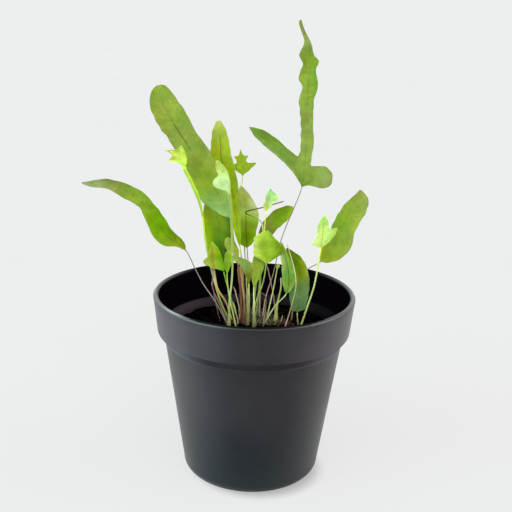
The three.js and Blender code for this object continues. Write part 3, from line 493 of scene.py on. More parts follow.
        ],
        tints={
            0: "leaf", 0.4: "grey_green grey_green leaf", 0.7: "grey_green sea grey_green",
            1: "grey_green sea grey_green",
        },
        tone_and_painted_light=[
            (0, 0.67, 0.5, 0.35), (0.25, 0.7, 0.52, 0.35), (0.5, 0.85, 0.8, 0.9),
            (0.78, 0.82, 0.72, 0.55),
        ],
    ),
    dict(
        name="hanging_olive", slot="blade_olive", foot=(0.5, -12), radius=0.46, face=(0, -1, 0.1),
        cup=0.15, veins=2.8, veining=0.6, margin=0.2, sheath=(1.2, 9),
        stem="foot_pale foot young_pale young", crease_shade=[(0, 0.1), (1, 0.1)], stalk=[(0, -11, 126.5)],
        rib=[(-0.5, -9, 138.5), (0.5, -7, 146.5), (2.5, -4, 155), (3.5, -1, 164)],
        rungs=[
            (0, 0.6, 0.6), (0.15, 1.7, 2.1), (0.35, 3.6, 3.7), (0.6, 4.6, 4.4), (0.8, 3.6, 3.6),
            (0.93, 1.8, 1.8), (1, 0.5, 0.5),
        ],
        tints={0: "leaf leaf leaf_deep", 0.5: "leaf leaf leaf_deep", 1: "leaf leaf_deep moss"},
        tone_and_painted_light=[(0, 0.9, 0.84, 0.9), (0.48, 0.74, 0.73, 0.8), (0.75, 0.86, 0.76, 0.7)],
    ),
    dict(
        name="grey_small", slot="blade_soft", foot=(-8, -1), radius=0.44, face=(0, -1, 0.3), cup=0.2,
        veins=3, veining=0.7, margin=0.8, stem="foot bark dead_dark bark tan",
        crease_shade=[(0, 0.2), (1, 0.2)], stalk=[(-9.5, -1.5, 133.5)],
        rib=[(-12, -2, 154), (-14, -3, 161.5), (-17, -4.5, 167.5), (-20, -6, 172)],
        rungs=[
            (0, 0.6, 0.6), (0.15, 1.9, 1.4), (0.4, 3.7, 2.8), (0.65, 4.4, 3.4), (0.85, 3.6, 2.8),
            (0.96, 2, 1.6), (1, 0.8, 0.8),
        ],
        tints={0: "leaf leaf khaki", 0.5: "leaf leaf_pale leaf", 1: "leaf"},
        tone_and_painted_light=[(0.44, 1.15, 0.95, 1), (0.8, 0.72, 0.77, 0.84), (0.98, 1.28, 1.14, 1.42)],
    ),
    dict(
        name="bud", slot="blade_bright", foot=(8.5, -3), radius=0.44, face=(0, -1, 0.2), cup=0, veins=2,
        veining=0.4, margin=0.2, stem="foot_pale young_pale young", crease_shade=[(0, 0.1), (1, 0.1)],
        stalk=[(11.5, -3.5, 127.5), (13.5, -3.5, 138.5)], rib=[(15, -3.5, 149.5), (16, -3.5, 154)],
        rungs=[(0, 0.5, 0.5), (0.3, 1.4, 1.1), (0.7, 1.2, 1.3), (1, 0.4, 0.4)],
        tints={0: "yellow_green", 1: "lime_edge"}, tone_and_painted_light=[(0.5, 0.8, 0.8, 0.8)],
    ),
    dict(
        name="star", slot="blade_olive", foot=(-5, 14), radius=0.44, face=(0, -1, 0.3), cup=0.1,
        veins=2.8, veining=0.6, margin=0, stem="foot young olive olive", crease_shade=[(0, 0.3), (1, 0.2)],
        stalk=[(-5.5, 17, 127.5), (-9, 28, 168.5), (-11.5, 36, 196), (-11, 38, 200.5)],
        rib=[(-10.5, 39, 205.5), (-11, 40, 211), (-12, 42, 218), (-12.5, 44, 223.5)],
        rungs=[
            (0, 0.8, 0.8), (0.08, 3, 3, 0.6, 0.4), (0.16, 4.4, 5.4, 1.2, 1.2),
            (0.3, 7.6, 10.2, 2.6, 2.6), (0.42, 3.8, 4.2, 1.6, 1), (0.52, 3.2, 3.6, 1, 0.8),
            (0.62, 4.8, 5.4, 2.6, 2.2), (0.72, 2.2, 2.3, 0.9, 0.8), (0.86, 1, 1, 0.2, 0.2),
            (1, 0.2, 0.2),
        ],
        tints={0: "grass_deep olive", 1: "olive leaf"}, tone_and_painted_light=[(0.44, 0.85, 0.89, 0.75)],
    ),
    dict(
        name="mint_front", slot="blade_mint", foot=(-17, -11), radius=0.5, face=(0, -1, 0.3), cup=0.15,
        veins=3, veining=0.5, margin=0.1, sheath=(1, 7), skin_from=0.6,
        stem="foot_pale young young stalk_mint stalk_mint",
        wing=[(0, 0), (0.5, 0.2), (0.75, 1), (1, 1.2)],
        stalk=[
            (-16.8, -13.5, 130.5), (-15.6, -14.5, 143.5), (-15.2, -16, 158.5), (-16, -18, 181),
            (-17, -20, 198.5),
        ],
        rib=[(-18, -21, 207), (-20.5, -22, 215.5), (-23.5, -24, 222.5), (-26, -26, 229)],
        rungs=[
            (0, 0.6, 0.6), (0.12, 6, 1.5, 1.7, -0.6), (0.27, 8.7, 2.4, 2, -0.5),
            (0.42, 6.6, 2.9, 2.9, 0), (0.53, 3.5, 3.3, 1.5, 0), (0.71, 2.6, 3.4, 1, -0.6),
            (0.86, 2.3, 2.6, 0.6, -0.4), (1, 0.8, 0.8),
        ],
        tints={0: "mint mint mint_pale", 0.6: "mint mint mint_pale", 1: "lime_edge mint_pale"},
        tone_and_painted_light=[(0.16, 0.84, 0.83, 0.82), (0.4, 1.1, 1.05, 1.2), (0.72, 0.95, 0.88, 0.65)],
    ),
    dict(
        name="bright_left", slot="blade_bright", foot=(-17.5, 3), radius=0.46, face=(-0.3, -1, 0.3),
        cup=0.15, veins=2.8, veining=0.5, margin=0.1, skin_from=0.68,
        stem="foot young young stalk_lime stalk_lime lime_edge", crease_shade=[(0, 0.1), (1, 0.05)],
        wing=[(0, 0.1), (0.65, 0.3), (0.76, 1.2), (0.84, 2.2), (1, 2.4)],
        stalk=[
            (-24, 3, 124.5), (-31, 2, 150), (-34.5, 0, 168.5), (-36.5, -2, 186.5), (-39, -4, 198),
            (-43, -5, 208),
        ],
        rib=[(-48.5, -7, 220.5), (-48.5, -9, 227), (-50, -12, 235.5)],
        rungs=[
            (0, 1.6, 1.6), (0.08, 2.8, 2, 0, 0.2), (0.17, 5.4, 2.3, -0.4, 0.3),
            (0.27, 10.6, 2.4, -2.2, 0.3), (0.36, 9.4, 2.3, -1, 0.3), (0.5, 8.2, 2.1, 0.4, 0.2),
            (0.62, 8.6, 1.9, 1.4, 0.2), (0.74, 11.6, 1.7, 1.9, 0.1), (0.8, 5.4, 1.5, 0.9, 0),
            (0.86, 2.9, 1.3, 0.3, 0), (1, 0.4, 0.4),
        ],
        tints={
            0: "lime_edge lime", 0.3: "lime_pale lime_pale lime_edge",
            0.5: "lime_pale lime_pale lime_edge", 1: "lime_pale lime lime_edge",
        },
        tone_and_painted_light=[(0.1, 0.9, 0.95, 0.55), (0.53, 1, 0.9, 0.62)],
    ),
    dict(
        name="mint_small", slot="blade_mint", foot=(1.5, 4), radius=0.44, face=(0.2, -1, 0.3), cup=0.2,
        veins=2.6, veining=0.5, margin=0.1, stem="foot young young_pale lime_edge",
        crease_shade=[(0, 0.3), (1, 0.3)], stalk=[(3, 3, 132.5), (4.5, 1.5, 155), (5.5, -1, 173.5)],
        rib=[(6.5, -4, 190.5), (8, -7, 198), (9, -11, 208.5)],
        rungs=[
            (0, 0.5, 0.5), (0.13, 2.4, 1.5, -0.3, 0.4), (0.34, 3.1, 2.9, 0.1, 0.8),
            (0.51, 2.9, 5.6, 0.4, 1.1), (0.64, 2.8, 6.1, 0.4, 1.3), (0.76, 2.4, 3.6, 0.5, 1.1),
            (0.89, 1.6, 1.5, 0.2, 0.5), (1, 0.3, 0.3),
        ],
        tints={0: "mint_pale", 0.4: "mint mint_cool", 1: "mint_cool mint_cool mint"},
        tone_and_painted_light=[(0.2, 1.35, 1.1, 1), (0.52, 1.13, 1, 0.95), (0.8, 1.1, 1.1, 1.1)],
    ),
    dict(
        name="low_lobed", slot="blade_bright", stem_slot="stalk_pinkish", foot=(-18.5, -1), radius=0.34,
        face=(0, -1, 0.2), cup=0.15, veins=3, veining=0.7, margin=0.1, rib_tint="dead",
        rib_fade=(0.9, 0.8), stem="bark brown rose brown", stalk=[(-25, -3, 125.5), (-29, -4, 136)],
        rib=[(-28.5, -5, 149), (-29, -6.5, 159.5), (-29.5, -8.5, 170)],
        rungs=[
            (0, 0.6, 0.6), (0.08, 3, 4.2, 0.8, -2), (0.16, 6.2, 7.4, 1.6, -3.6),
            (0.26, 6.6, 8, 2.3, -3), (0.39, 4.1, 6.4, 1.5, -0.5), (0.5, 2.9, 5.9, 0.1, 1.6),
            (0.7, 2.4, 4.2, 0.2, 1.6), (0.88, 1.4, 1.8, 0.1, 0.6), (1, 0.4, 0.4),
        ],
        tints={
            0: "khaki brown_green grass_deep", 0.2: "lobe_pale leaf grass_deep",
            0.32: "lobe_pale leaf grass_deep", 0.4: "leaf_pale gold_green grass_deep",
            0.7: "leaf leaf gold_green", 1: "leaf",
        },
        tone_and_painted_light=[(0.26, 1.1, 1.05, 0.8), (0.5, 0.97, 0.95, 0.5), (0.85, 1.15, 1.2, 0.8)],
    ),
    dict(
        name="bright_right", slot="blade_bright", foot=(32, -10), radius=0.58, face=(0.25, -1, 0.3),
        cup=0.15, veins=3.2, veining=0.6, margin=0.4, stem="foot_pale young young_pale lime_edge",
        crease_shade=[(0, 0.3), (0.3, 0.5), (0.7, 0.5), (1, 0.1)],
        stalk=[(37, -11.5, 128), (40.5, -13, 142.5), (42.5, -15, 159.5)],
        rib=[(43.5, -16, 169), (44, -18, 179.5), (44.5, -22, 194)],
        rungs=[
            (0, 0.6, 0.6), (0.06, 3.5, 3.3, -0.4, 1.2), (0.12, 7.2, 6.1, 1, 3.6),
            (0.21, 5.8, 8.8, 1.9, 6.4), (0.29, 5.1, 9.3, 2.8, 8.2), (0.41, 4.6, 4.4, 2.6, 4.6),
            (0.62, 4.2, 3.6, 1.9, 2.6), (0.82, 2.9, 2.4, 1.2, 1.4), (1, 0.4, 0.4),
        ],
        tints={0: "lime_pale lime_edge", 0.3: "lime_pale lime lime_edge", 0.7: "lime", 1: "lime_edge"},
        tone_and_painted_light=[(0.16, 0.98, 0.97, 2), (0.5, 1, 1.08, 2.1)],
    ),
    dict(
        name="tall_lobed", slot="blade_mid", stem_slot="stalk_brown", foot=(6, 1), radius=0.32,
        face=(0.2, -1, 0.3), cup=0.12, veins=4, veining=0.8, margin=-0.5,
        stem="straw pink brown bark brown", crease_shade=[(0, 0.25), (1, 0.1)],
        stalk=[(8, 2, 128), (12.5, 2.5, 144), (17, 3, 167.5), (20.5, 3, 179), (26, 2, 194)],
        rib=[
            (30, 0, 207), (31, -2, 223), (32, -5, 243.5), (31, -10, 270), (31.5, -14, 289.5),
            (29, -18, 304), (24, -22, 317.5),
        ],
        rungs=[
            (0, 0.6, 0.6), (0.014, 3.8, 8, 3.4, 0.8), (0.03, 9.5, 12.2, 8.8, -2.7),
            (0.047, 17.3, 16.7, 14.9, -4), (0.062, 26.3, 19.3, 20.9, -3.2),
            (0.08, 33.6, 19.6, 26.1, -1), (0.095, 39.3, 18.2, 32.6, 0.7), (0.11, 31.9, 14.7, 29.3, 2.6),
            (0.127, 22.9, 9.6, 22.1, 1.1), (0.144, 14.7, 5, 12.7, -0.8), (0.16, 7.3, 4.2, 5.1, -0.1),
            (0.18, 5.3, 4.3, 1.6, 0.2), (0.21, 4.1, 4.4, 0.8, 0.3), (0.29, 4.2, 4.7, 0, 0.4),
            (0.335, 4.5, 3.9, 0, 0.2), (0.38, 4.6, 3.7), (0.48, 5.3, 3.9), (0.55, 5.9, 4.6),
            (0.6, 3.9, 6.1), (0.66, 7.1, 5.1), (0.71, 6.2, 3.8), (0.75, 4.8, 5.8), (0.785, 6, 3.2),
            (0.81, 7.1, 2.5), (0.835, 5.3, 2.6), (0.86, 2.9, 2.2), (0.89, 1.7, 1.5), (0.92, 1.8, 0.8),
            (0.96, 1.8, 0.5), (0.985, 1.6, 0.7), (1, 0.6, 0.5),
        ],
        tints={
            0: "leaf leaf_deep leaf", 0.06: "leaf_blue leaf khaki", 0.1: "leaf_deep leaf leaf_pale",
            0.2: "leaf", 0.5: "leaf", 0.6: "leaf_pale leaf leaf_deep", 0.75: "leaf_deep leaf leaf_deep",
            0.83: "leaf_pale leaf khaki", 0.87: "khaki", 1: "brown_green",
        },
        tone_and_painted_light=[
            (0.07, 0.75, 0.77, 1.2), (0.13, 0.95, 0.97, 1.6), (0.29, 0.94, 0.91, 1.75),
            (0.47, 0.94, 0.92, 1.5), (0.65, 0.95, 1, 1.16), (0.8, 0.85, 0.9, 1), (0.87, 0.8, 0.78, 1.2),
        ],
    ),
]

# Stalks with no blade: foot, points, radius at foot and end, colours from foot to end, and how
# far flattened
BARE_STALKS = [
    dict(
        name="dry_bent", slot="stalk_twig", foot=(-1.5, 5), radius=(0.5, 0.38),
        stem="tan young young brown_green straw young_pale twig twig bark",
        path=[
            (2, 3.5, 147), (4, 1.5, 180.5), (0, 1, 185), (-5.5, 1, 187), (-8, 0.5, 188.5),
            (-6, 1, 189.5), (3.5, 1.5, 192), (18.5, 3, 196.5),
        ],
    ),
    dict(
        name="dead_front", slot="stalk_dead", foot=(-6.3, -4), radius=(0.46, 0.42), flat=0.3,
        stem="bark bark tan brown dead dead dead dead",
        path=[(-7.1, -4.5, 128), (-8.6, -5, 140.5), (-10.2, -5.5, 152.5)],
    ),
    dict(
        name="dead_back", slot="stalk_dead", foot=(-5, 1), radius=(0.42, 0.36), flat=0.2,
        stem="bark twig twig bark dead_dark", path=[(-7, 1, 124), (-9, 1.5, 134), (-11.4, 2, 149.5)],
    ),
    dict(
        name="dead_yellow", slot="stalk_young", foot=(-15, -3), radius=(0.45, 0.5), flat=0.3,
        stem="foot young tan ochre straw dead",
        path=[(-19.5, -1.5, 124), (-26, -1, 135), (-28.5, 0, 148.5)],
    ),
    dict(
        name="bare_right", slot="stalk_young", foot=(21.5, -12), radius=(0.4, 0.26),
        stem="tan pink tan young young young_pale straw tan",
        path=[(25, -13.5, 125), (28, -15, 143), (26.5, -15, 153.5), (21, -13, 171)],
    ),
    dict(
        name="broken", slot="stalk_young", foot=(15, -4), radius=(0.7, 0.5), sheath=(1.6, 4.5),
        stem="foot_pale young young young straw",
        path=[(16.2, -4, 126), (18.2, -4, 137), (18, -3.5, 144)],
    ),
    dict(
        name="back", slot="stalk_pinkish", foot=(15.5, 6), radius=(0.45, 0.36), stem="tan brown pink",
        path=[(13.5, 6, 127), (8.5, 6, 149)],
    ),
]
CROZIER = dict(
    name="crozier", slot="stalk_young", foot=(6.5, -12), radius=(0.36, 0.24),
    stem="bark brown bark bark",
    path=[
        (8, -12.2, 126), (8.2, -12.6, 130.5), (6.8, -13, 134.6), (5, -13.3, 136), (3.4, -13.5, 134.8),
        (3, -13.5, 133.4),
    ],
)

# Dry strands thinner than any modelled stalk: foot, path, radius and colours
STRANDS = [
    ((-7.6, -5), [(-8.6, -5, 126), (-10.6, -5, 139), (-12, -5.5, 151)], 0.26,
     "bark twig bark dead_dark dead"),
    ((-5.6, -6), [(-6, -6, 124), (-6.8, -6, 134), (-7.9, -6, 143)], 0.24, "bark dead_dark bark"),
    ((-9.6, -3), [(-10.5, -2, 121), (-12.4, -1, 129), (-14.5, 0, 135.5)], 0.34, "rust moss_grey pink"),
    ((-10.8, -6), [(-11.8, -6, 116), (-13.2, -6, 122), (-14.5, -6, 126.5)], 0.3, "straw young_pale"),
    ((-4.2, -6), [(-4.5, -6, 118), (-4.6, -6, 125.5), (-4.7, -6, 137)], 0.24, "pink straw"),
    ((-0.1, -7), [(-0.1, -7, 119), (-0.1, -7, 126), (0, -7, 137.6)], 0.24, "young straw pink"),
    ((4, 0), [(4.1, 0, 118), (4, 0, 123), (3.8, 0, 129)], 0.2, "moss_grey moss_grey"),
    ((18, -6), [(18.8, -6, 113), (20, -6, 117.5)], 0.24, "tan moss_grey"),
    ((-8.2, -6), [(-8.6, -6, 119), (-9.3, -6, 127)], 0.26, "rust rust"),
    ((-7.4, -7), [(-7.2, -7, 116), (-7.5, -7, 122)], 0.3, "rust dead_dark"),
    ((-5.2, -7), [(-5, -7, 114), (-5.1, -7, 120)], 0.3, "dead_dark tan"),
    ((-6.2, -8), [(-6.4, -8, 114), (-6.2, -8, 118)], 0.3, "rust rust"),
    ((-24, 4), [(-27, 4, 122), (-28.5, 4, 130), (-30.5, 5, 137)], 0.16, "rust moss_grey"),
]

# Thin pale roots that arch over the ground: both ends, height and radius
ROOT_ARCHES = [
    ((-5, -5), (-2.6, -5.5), 9.5, 0.13), ((-11, -5), (-8.4, -4.5), 10.5, 0.13),
    ((2.6, -5), (12, -4), 5.5, 0.14), ((4, -7), (9, -7), 4.5, 0.12), ((8, -4), (12, -6), 3.5, 0.16),
    ((9, -6), (14, -3), 2.8, 0.13), ((17, -2), (24, 0), 2, 0.12), ((5, -3), (9, -9), 6, 0.12),
    ((-6, -7), (1, -7), 11.5, 0.1), ((1, -7), (7, -7), 9.5, 0.1), ((-3, -6), (4, -6), 13, 0.1),
    ((3, -6), (10, -6), 11.5, 0.1), ((0, -9), (8, -9), 2.6, 0.12), ((6, -5), (13, -6), 8.5, 0.1),
    ((-1, -8), (5, -8), 4, 0.12), ((6, -9), (11, -9), 1.8, 0.14), ((-30, -2), (-25, -4), 1, 0.16),
]


# Small helpers

def linear(name):
    """A palette colour as linear red, green and blue."""
    code = PALETTE[name]
    channels = [int(code[i:i + 2], 16) / 255 for i in (0, 2, 4)]
    return np.array([c / 12.92 if c <= 0.04045 else ((c + 0.055) / 1.055) ** 2.4 for c in channels])


def smoothstep(value, low, high):
    """A share that eases from 0 at a low value to 1 at a high one."""
    share = np.clip((value - low) / (high - low), 0.0, 1.0)
    return share * share * (3 - 2 * share)


def bell(value, middle, width):
    return math.exp(-((value - middle) / width) ** 2)


def unit(vector):
    vector = np.array(vector, float)
    return vector / np.linalg.norm(vector)


def values_at(stops, place):
    """The values at a place between stops, each stop a place and its values."""
    table = np.array(stops, float)
    return np.array([np.interp(place, table[:, 0], column) for column in table[:, 1:].T])


def turns(count):
    """Angles spread evenly over a full turn."""
    return [2 * math.pi * k / count for k in range(count)]


def circle(radius, z, sides, x=0.0, y=0.0):
    return [(x + radius * math.cos(a), y + radius * math.sin(a), z) for a in turns(sides)]


def inner_wall(z):
    """Radius of the pot's inside under its ledge."""
    foot = BASE_RADIUS - WALL
    share = (z - BASE_ROUND) / (LEDGE_TOP - LEDGE_FALL - BASE_ROUND)
    return foot + (LEDGE_INNER_RADIUS - foot) * share


def soil_top(x, y):
    fall = ((x - MOUND_CENTRE_X) / MOUND_RADIUS) ** 2 + (y / MOUND_RADIUS) ** 2
    return SOIL_EDGE + MOUND_HEIGHT * max(0.0, 1.0 - fall)


def rough_soil_top(x, y):
    """Height of the dressed soil, with its lumps."""
    lumps = noise.fractal(Vector((x, y, 0.0)) * LUMP_SCALE, 0.9, 2.1, 5)
    return soil_top(x, y) + SOIL_ROUGHNESS * (lumps - LUMP_MEAN)


def spline(points, position):
    """Point of the centripetal Catmull-Rom curve, position counted in points."""
    last = len(points) - 1
    i = min(int(position), last - 1)
    w = position - i
    p1, p2 = points[i], points[i + 1]
    p0 = points[i - 1] if i > 0 else 2 * p1 - p2
    p3 = points[i + 2] if i + 2 <= last else 2 * p2 - p1
    before, step, after = (math.dist(a, b) ** 0.5 for a, b in ((p0, p1), (p1, p2), (p2, p3)))
    t1 = ((p1 - p0) / before - (p2 - p0) / (before + step) + (p2 - p1) / step) * step
    t2 = ((p2 - p1) / step - (p3 - p1) / (step + after) + (p3 - p2) / after) * step
    c2 = -3 * p1 + 3 * p2 - 2 * t1 - t2
    c3 = 2 * p1 - 2 * p2 + t1 + t2
    return p1 + t1 * w + c2 * w * w + c3 * w * w * w


class Course:
    """The line that a stalk and its rib follow, measured from its buried end."""

    def __init__(self, foot, points):
        surface = np.array([*foot, soil_top(*foot)], float)
        rest = [np.array(p, float) for p in points]
        self.points = [surface - unit(rest[0] - surface) * FOOT_DEPTH, surface, *rest]
        self.places = np.linspace(0.0, 1.0, LENGTH_SAMPLES + 1)
        line = np.array([self.at_place(p) for p in self.places])
        steps = np.linalg.norm(np.diff(line, axis=0), axis=1)
        self.lengths = np.concatenate([[0.0], np.cumsum(steps)])
        self.total = self.lengths[-1]

    def at_place(self, place):
        return spline(self.points, place * (len(self.points) - 1))

    def length_of(self, place):
        return float(np.interp(place, self.places, self.lengths))

    def station(self, length, face):
        """Centre and the directions along, across and out at a length."""
        place = float(np.interp(length, self.lengths, self.places))
        step = 1e-4
        along = unit(self.at_place(min(1.0, place + step)) - self.at_place(max(0.0, place - step)))
        across = unit(np.cross(along, face))
        return self.at_place(place), along, across, unit(np.cross(across, along))


def ring_faces(rings, sides):
    """Quads between rings of points."""
    faces = []
    for row in range(rings - 1):
        near, far = row * sides, (row + 1) * sides
        for k in range(sides):
            after = (k + 1) % sides
            faces.append((near + k, near + after, far + after, far + k))
    return faces


def tube_faces(rings, sides):
    """Quads between rings of points, and a face over each end."""
    ends = [tuple(reversed(range(sides))), tuple(range((rings - 1) * sides, rings * sides))]
    return ring_faces(rings, sides) + ends


def lathe_faces(rings, sides):
    """Faces of rings that lie between a first and a last point on the axis."""
    faces = [tuple(1 + i for i in face) for face in ring_faces(rings, sides)]
    last = 1 + (rings - 1) * sides
    for k in range(sides):
        after = (k + 1) % sides
        faces += [(0, 1 + after, 1 + k), (last + k, last + after, last + sides)]
    return faces


class Form:
    """Points and faces of one mesh in millimetres.

    Each point may have a tint, a place on its leaf or stalk, and the marks of its leaf:
    how strongly its painted crease shade, its veining and its margin show.
    """

    def __init__(self):
        self.points, self.faces, self.tints, self.leaf, self.marks = [], [], [], [], []

    def add(self, points, faces, tint=None):
        """A body of one tint."""
        first = len(self.points)
        self.points += points
        self.faces += [tuple(first + i for i in face) for face in faces]
        if tint is not None:
            self.tints += [tint] * len(points)

    def add_tube(self, rings, tint=None):
        points = [point for ring in rings for point in ring]
        self.add(points, tube_faces(len(rings), len(rings[0])), tint)

    def add_point(self, point, tint, leaf, marks=(0, 0, 0)):
        self.points.append(point)
        self.tints.append(tint)
        self.leaf.append(leaf)
        self.marks.append(marks)

    def add_ring(self, centre, across, out, offsets, tint, length, shift):
        """A ring round a stalk at a length, from offsets across and out of its centre."""
        place = length / SKIN_ALONG + shift
        for x, z in offsets:
            leaf = (x * SKIN_ACROSS, place, z * SKIN_ACROSS)
            self.add_point(centre + across * x + out * z, tint, leaf)

    def close(self, sides, first=0):
        """Faces for the rings added since a first point."""
        rings = (len(self.points) - first) // sides
        self.faces += [tuple(first + i for i in face) for face in tube_faces(rings, sides)]


def make_mesh(name, form, smooth=True):
    """Mesh of a form in metres, with its tints, places and marks as attributes."""
    mesh = bpy.data.meshes.new(name)
    mesh.from_pydata((np.array(form.points, float) * MM).tolist(), [], form.faces)
    mesh.polygons.foreach_set("use_smooth", [smooth] * len(mesh.polygons))
    tints = [(*tint, 1.0) for tint in form.tints]
    kinds = (("tint", "COLOR", tints), ("leaf", "VECTOR", form.leaf), ("marks", "VECTOR", form.marks))
    for key, kind, values in kinds:
        if values:
            attribute = mesh.attributes.new(key, "FLOAT_" + kind, "POINT")
            attribute.data.foreach_set(kind.lower(), np.array(values, np.float32).ravel())
    mesh.validate()
    mesh.update()
    return mesh


def piece(name, form, materials, slot, *nodes, smooth=True):
    """A form as an object that rides with the pot and stands for CAD nodes."""
    made = bpy.data.objects.new(name, make_mesh(name, form, smooth))
    bpy.context.scene.collection.objects.link(made)
    for material in materials:
        made.data.materials.append(material)
    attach(made, "root")
    if nodes:
        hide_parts(*nodes)
    return made


# Node graphs

class Graph:
    """Adds and links the nodes of one material or world."""

    def __init__(self, owner):
        self.owner = owner
        owner.use_nodes = True
        self.tree = owner.node_tree
        self.tree.nodes.clear()

    def node(self, kind, inputs, **settings):
        """A node, each input set to a value or linked to another node's output."""
        node = self.tree.nodes.new(kind)
        for key, value in settings.items():
            setattr(node, key, value)
        for key, value in inputs.items():
            if isinstance(value, bpy.types.NodeSocket):
                self.tree.links.new(value, node.inputs[key])
            else:
                node.inputs[key].default_value = value
        return node

    def add(self, kind, inputs, output=0, **settings):
        return self.node(kind, inputs, **settings).outputs[output]

    def attribute(self, name, output):
        return self.add("ShaderNodeAttribute", {}, output, attribute_name=name)

    def coordinates(self, kind="Object"):
        return self.add("ShaderNodeTexCoord", {}, kind)

    def parts(self, vector):
        return self.node("ShaderNodeSeparateXYZ", {0: vector}).outputs

    def math(self, operation, *values):
        return self.add("ShaderNodeMath", dict(enumerate(values)), operation=operation)

    def product(self, first, *others):
        for other in others:
            first = self.math("MULTIPLY", first, other)
        return first

    def ramp(self, value, low, high, to_low, to_high):
        """A value between low and high, eased to a value between two others."""
        inputs = dict(enumerate((value, low, high, to_low, to_high)))
        return self.add("ShaderNodeMapRange", inputs, interpolation_type="SMOOTHSTEP")

    def noise(self, vector, scale, detail=3.0, roughness=0.5):
        inputs = {"Vector": vector, "Scale": scale, "Detail": detail, "Roughness": roughness}
        return self.add("ShaderNodeTexNoise", inputs, "Fac")

    def spread(self, noise, low, high):
        """A noise stretched to run from a low to a high value."""
        return self.ramp(noise, 0.3, 0.7, low, high)

    def mix(self, factor, first, second, mode="MIX"):
        inputs = {0: factor, 6: first, 7: second}
        return self.add("ShaderNodeMix", inputs, 2, data_type="RGBA", blend_type=mode)

    def tinted(self, value, hue=0.5):
        """The mesh's own tint, made lighter or darker by a value and shifted to a hue."""
        inputs = {"Hue": hue, "Value": value, "Color": self.attribute("tint", "Color")}
        return self.add("ShaderNodeHueSaturation", inputs)

    def bump(self, height, strength, distance):
        inputs = {"Height": height, "Strength": strength, "Distance": distance}
        return self.add("ShaderNodeBump", inputs, "Normal")

    def surface(self, colour, roughness, specular, normal):
        inputs = {
            "Base Color": colour, "Roughness": roughness,
            "Specular IOR Level": specular, "Normal": normal,
        }
        return self.add("ShaderNodeBsdfPrincipled", inputs)

    def finish(self, shader, output="ShaderNodeOutputMaterial"):
        self.node(output, {"Surface": shader})
        return self.owner


def blade_material(name, through, roughness, specular):
    """Leaf skin: mottled tint, slanted side veins, a fine net between them, and light through."""
    g = Graph(bpy.data.materials.new(name))
    place = g.attribute("leaf", "Vector")
    across, along, share = g.parts(place)
    crease_shade, veining, margin = g.parts(g.attribute("marks", "Vector"))
    side = g.math("ABSOLUTE", across)
    slanted = g.math("MULTIPLY_ADD", side, -VEIN_SLANT, along)
    slanted = g.math("MULTIPLY_ADD", g.noise(place, 0.9, 2.0), 0.35, slanted)
    veins = g.ramp(g.math("PINGPONG", slanted, 0.5), 0.0, VEIN_WIDTH, 1.0, 0.0)
    net = {"Vector": place, "Scale": 2.6}
    border = g.add("ShaderNodeTexVoronoi", net, "Distance", feature="DISTANCE_TO_EDGE")
    cells = g.ramp(border, 0.0, NET_WIDTH, 1.0, 0.0)
    rib = g.ramp(side, *RIB_SPAN, 1.0, 0.0)
    edge = g.ramp(share, *MARGIN_SPAN, 0.0, 1.0)
    pale_margin = g.math("MAXIMUM", margin, 0.0)
    dark_margin = g.math("MAXIMUM", g.product(margin, -1.0), 0.0)
    value = g.spread(g.noise(place, 0.55, 4.0, 0.6), 0.84, 1.16)
    hue = g.spread(g.noise(place, 0.35, 2.0), 0.488, 0.512)
    colour = g.tinted(value, hue)
    # The third row below paints shade along the rib's crease
    shades = (
        (g.product(cells, veining, 0.14), (0.50, 0.60, 0.30, 1), "MULTIPLY"),
        (g.product(veins, veining, 0.20), (0.55, 0.66, 0.42, 1), "MULTIPLY"),
        (g.product(rib, crease_shade, 0.75), (0.30, 0.34, 0.14, 1), "MULTIPLY"),
        (g.product(edge, pale_margin, 0.6), (0.62, 0.74, 0.36, 1), "MIX"),
        (g.product(edge, dark_margin, 0.8), (0.52, 0.46, 0.30, 1), "MULTIPLY"),
    )
    for strength, shade, mode in shades:
        colour = g.mix(strength, colour, shade, mode)
    height = g.math("MULTIPLY_ADD", veins, -0.6, g.product(cells, -0.25))
    height = g.math("MULTIPLY_ADD", g.noise(place, 9.0), 0.35, height)
    normal = g.bump(height, 0.35, 0.0004)
    skin = g.surface(colour, roughness, specular, normal)
    inside = g.mix(1.0, colour, (1.0, 1.0, 0.75, 1), "MULTIPLY")
    lit = g.add("ShaderNodeBsdfTranslucent", {"Color": inside, "Normal": normal})
    return g.finish(g.add("ShaderNodeMixShader", {0: through, 1: skin, 2: lit}))


def stalk_material(name, roughness, streak):
    """Stalk skin: its own tint with streaks along it."""
    g = Graph(bpy.data.materials.new(name))
    place = g.attribute("leaf", "Vector")
    fine = g.noise(place, 2.2, 4.0, 0.6)
    blotch = g.spread(g.noise(place, 0.4), 0.86, 1.12)
    colour = g.tinted(g.product(g.spread(fine, 1 - streak, 1 + streak), blotch))
    return g.finish(g.surface(colour, roughness, 0.22, g.bump(fine, 0.5, 0.0002)))


def pot_material(name, specular, dusty):
    """Matte charcoal plastic with a fine moulded grain and dust."""
    g = Graph(bpy.data.materials.new(name))
    place = g.coordinates()
    grain = g.noise(place, 1500.0, 3.0, 0.6)
    cloud = g.noise(place, 28.0, 4.0, 0.55)
    dust = g.ramp(g.noise(place, 420.0, 2.0), 0.60, 0.78, 0.0, dusty)
    colour = g.mix(dust, g.tinted(g.spread(cloud, 0.92, 1.09)), POT_DUST)
    normal = g.bump(grain, 0.35, 0.00012)
    return g.finish(g.surface(colour, g.spread(cloud, 0.34, 0.42), specular, normal))


